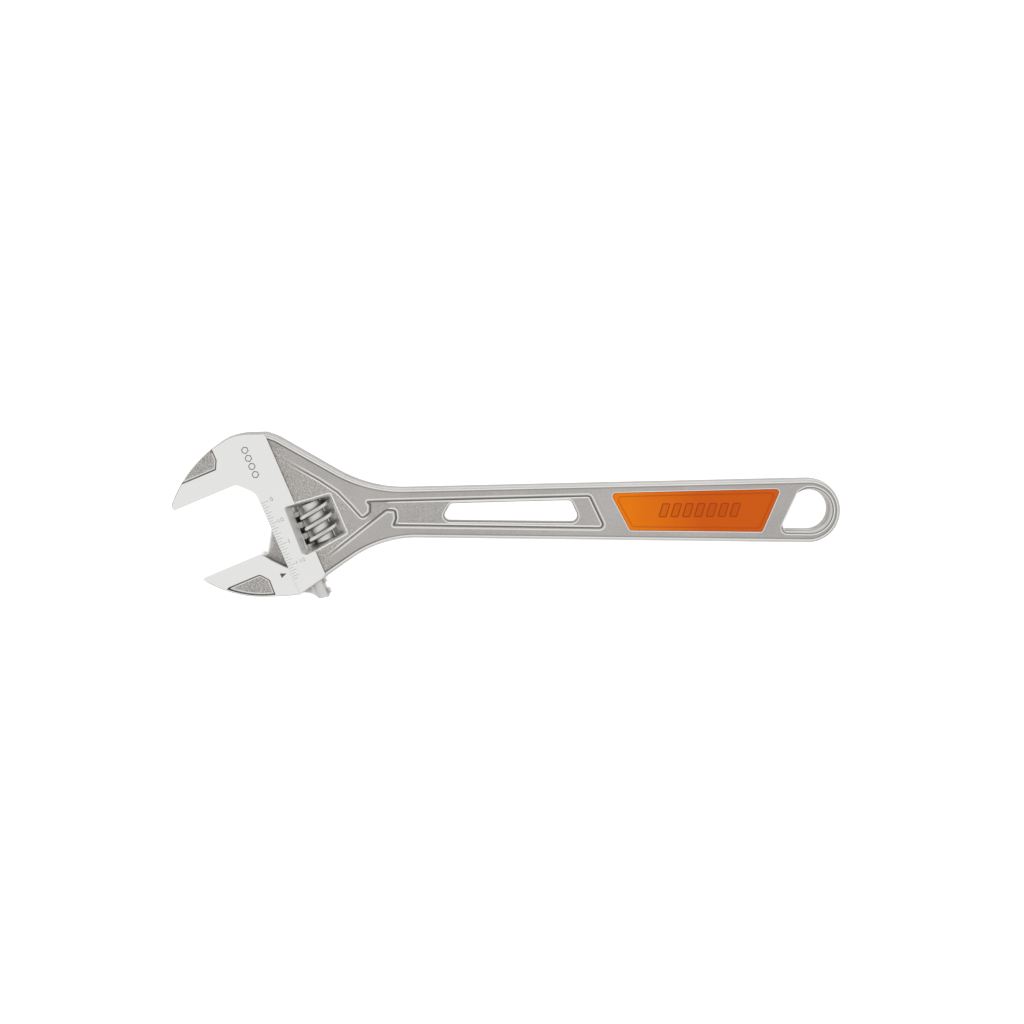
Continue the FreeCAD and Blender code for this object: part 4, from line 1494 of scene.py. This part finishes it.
class WRENCH_OT_mould_inlays(bpy.types.Operator):
    """Mould the two handle inlays"""
    bl_idname = "wrench.mould_inlays"
    bl_label = "Mould inlays"

    def execute(self, context):
        mould_inlays()
        return {"FINISHED"}


class WRENCH_OT_finish_hidden(bpy.types.Operator):
    """Give the pin, the spring and the adhesive films their finishes"""
    bl_idname = "wrench.finish_hidden"
    bl_label = "Finish pin, spring and films"

    def execute(self, context):
        finish_hidden_pieces()
        return {"FINISHED"}


class WRENCH_OT_etch_marks(bpy.types.Operator):
    """Etch the scale, the nut signs and the pointer"""
    bl_idname = "wrench.etch_marks"
    bl_label = "Etch marks"

    def execute(self, context):
        etch_marks()
        return {"FINISHED"}


class WRENCH_OT_set_stage(bpy.types.Operator):
    """Lay the floor and set the lights and the camera"""
    bl_idname = "wrench.set_stage"
    bl_label = "Set stage"

    def execute(self, context):
        set_stage()
        return {"FINISHED"}


OPERATORS = (
    WRENCH_OT_forge_body, WRENCH_OT_forge_jaw, WRENCH_OT_turn_worm, WRENCH_OT_mould_inlays,
    WRENCH_OT_finish_hidden, WRENCH_OT_etch_marks, WRENCH_OT_set_stage,
)
GROUPS = {"wrench_forging": WrenchForging, "wrench_finish": WrenchFinishAndPaintedLight, "wrench_stage": WrenchStage}


class WRENCH_PT_panel(bpy.types.Panel):
    """The wrench's settings and pieces"""
    bl_idname = "WRENCH_PT_panel"
    bl_label = "Adjustable Wrench"
    bl_space_type = "VIEW_3D"
    bl_region_type = "UI"
    bl_category = "Wrench"

    def draw(self, context):
        for group_name, group in GROUPS.items():
            box = self.layout.box()
            for setting in group.__annotations__:
                box.prop(getattr(context.scene, group_name), setting)
        for operator in OPERATORS:
            self.layout.operator(operator.bl_idname)


def register():
    for kind in (*GROUPS.values(), *OPERATORS, WRENCH_PT_panel):
        bpy.utils.register_class(kind)
    for name, group in GROUPS.items():
        setattr(bpy.types.Scene, name, bpy.props.PointerProperty(type=group))


def unregister():
    for name in GROUPS:
        delattr(bpy.types.Scene, name)
    for kind in reversed((*GROUPS.values(), *OPERATORS, WRENCH_PT_panel)):
        bpy.utils.unregister_class(kind)


def main():
    register()
    bpy.ops.wrench.forge_body()
    bpy.ops.wrench.forge_jaw()
    bpy.ops.wrench.turn_worm()
    bpy.ops.wrench.mould_inlays()
    bpy.ops.wrench.finish_hidden()
    bpy.ops.wrench.etch_marks()
    bpy.ops.wrench.set_stage()


if __name__ == "__main__":
    main()
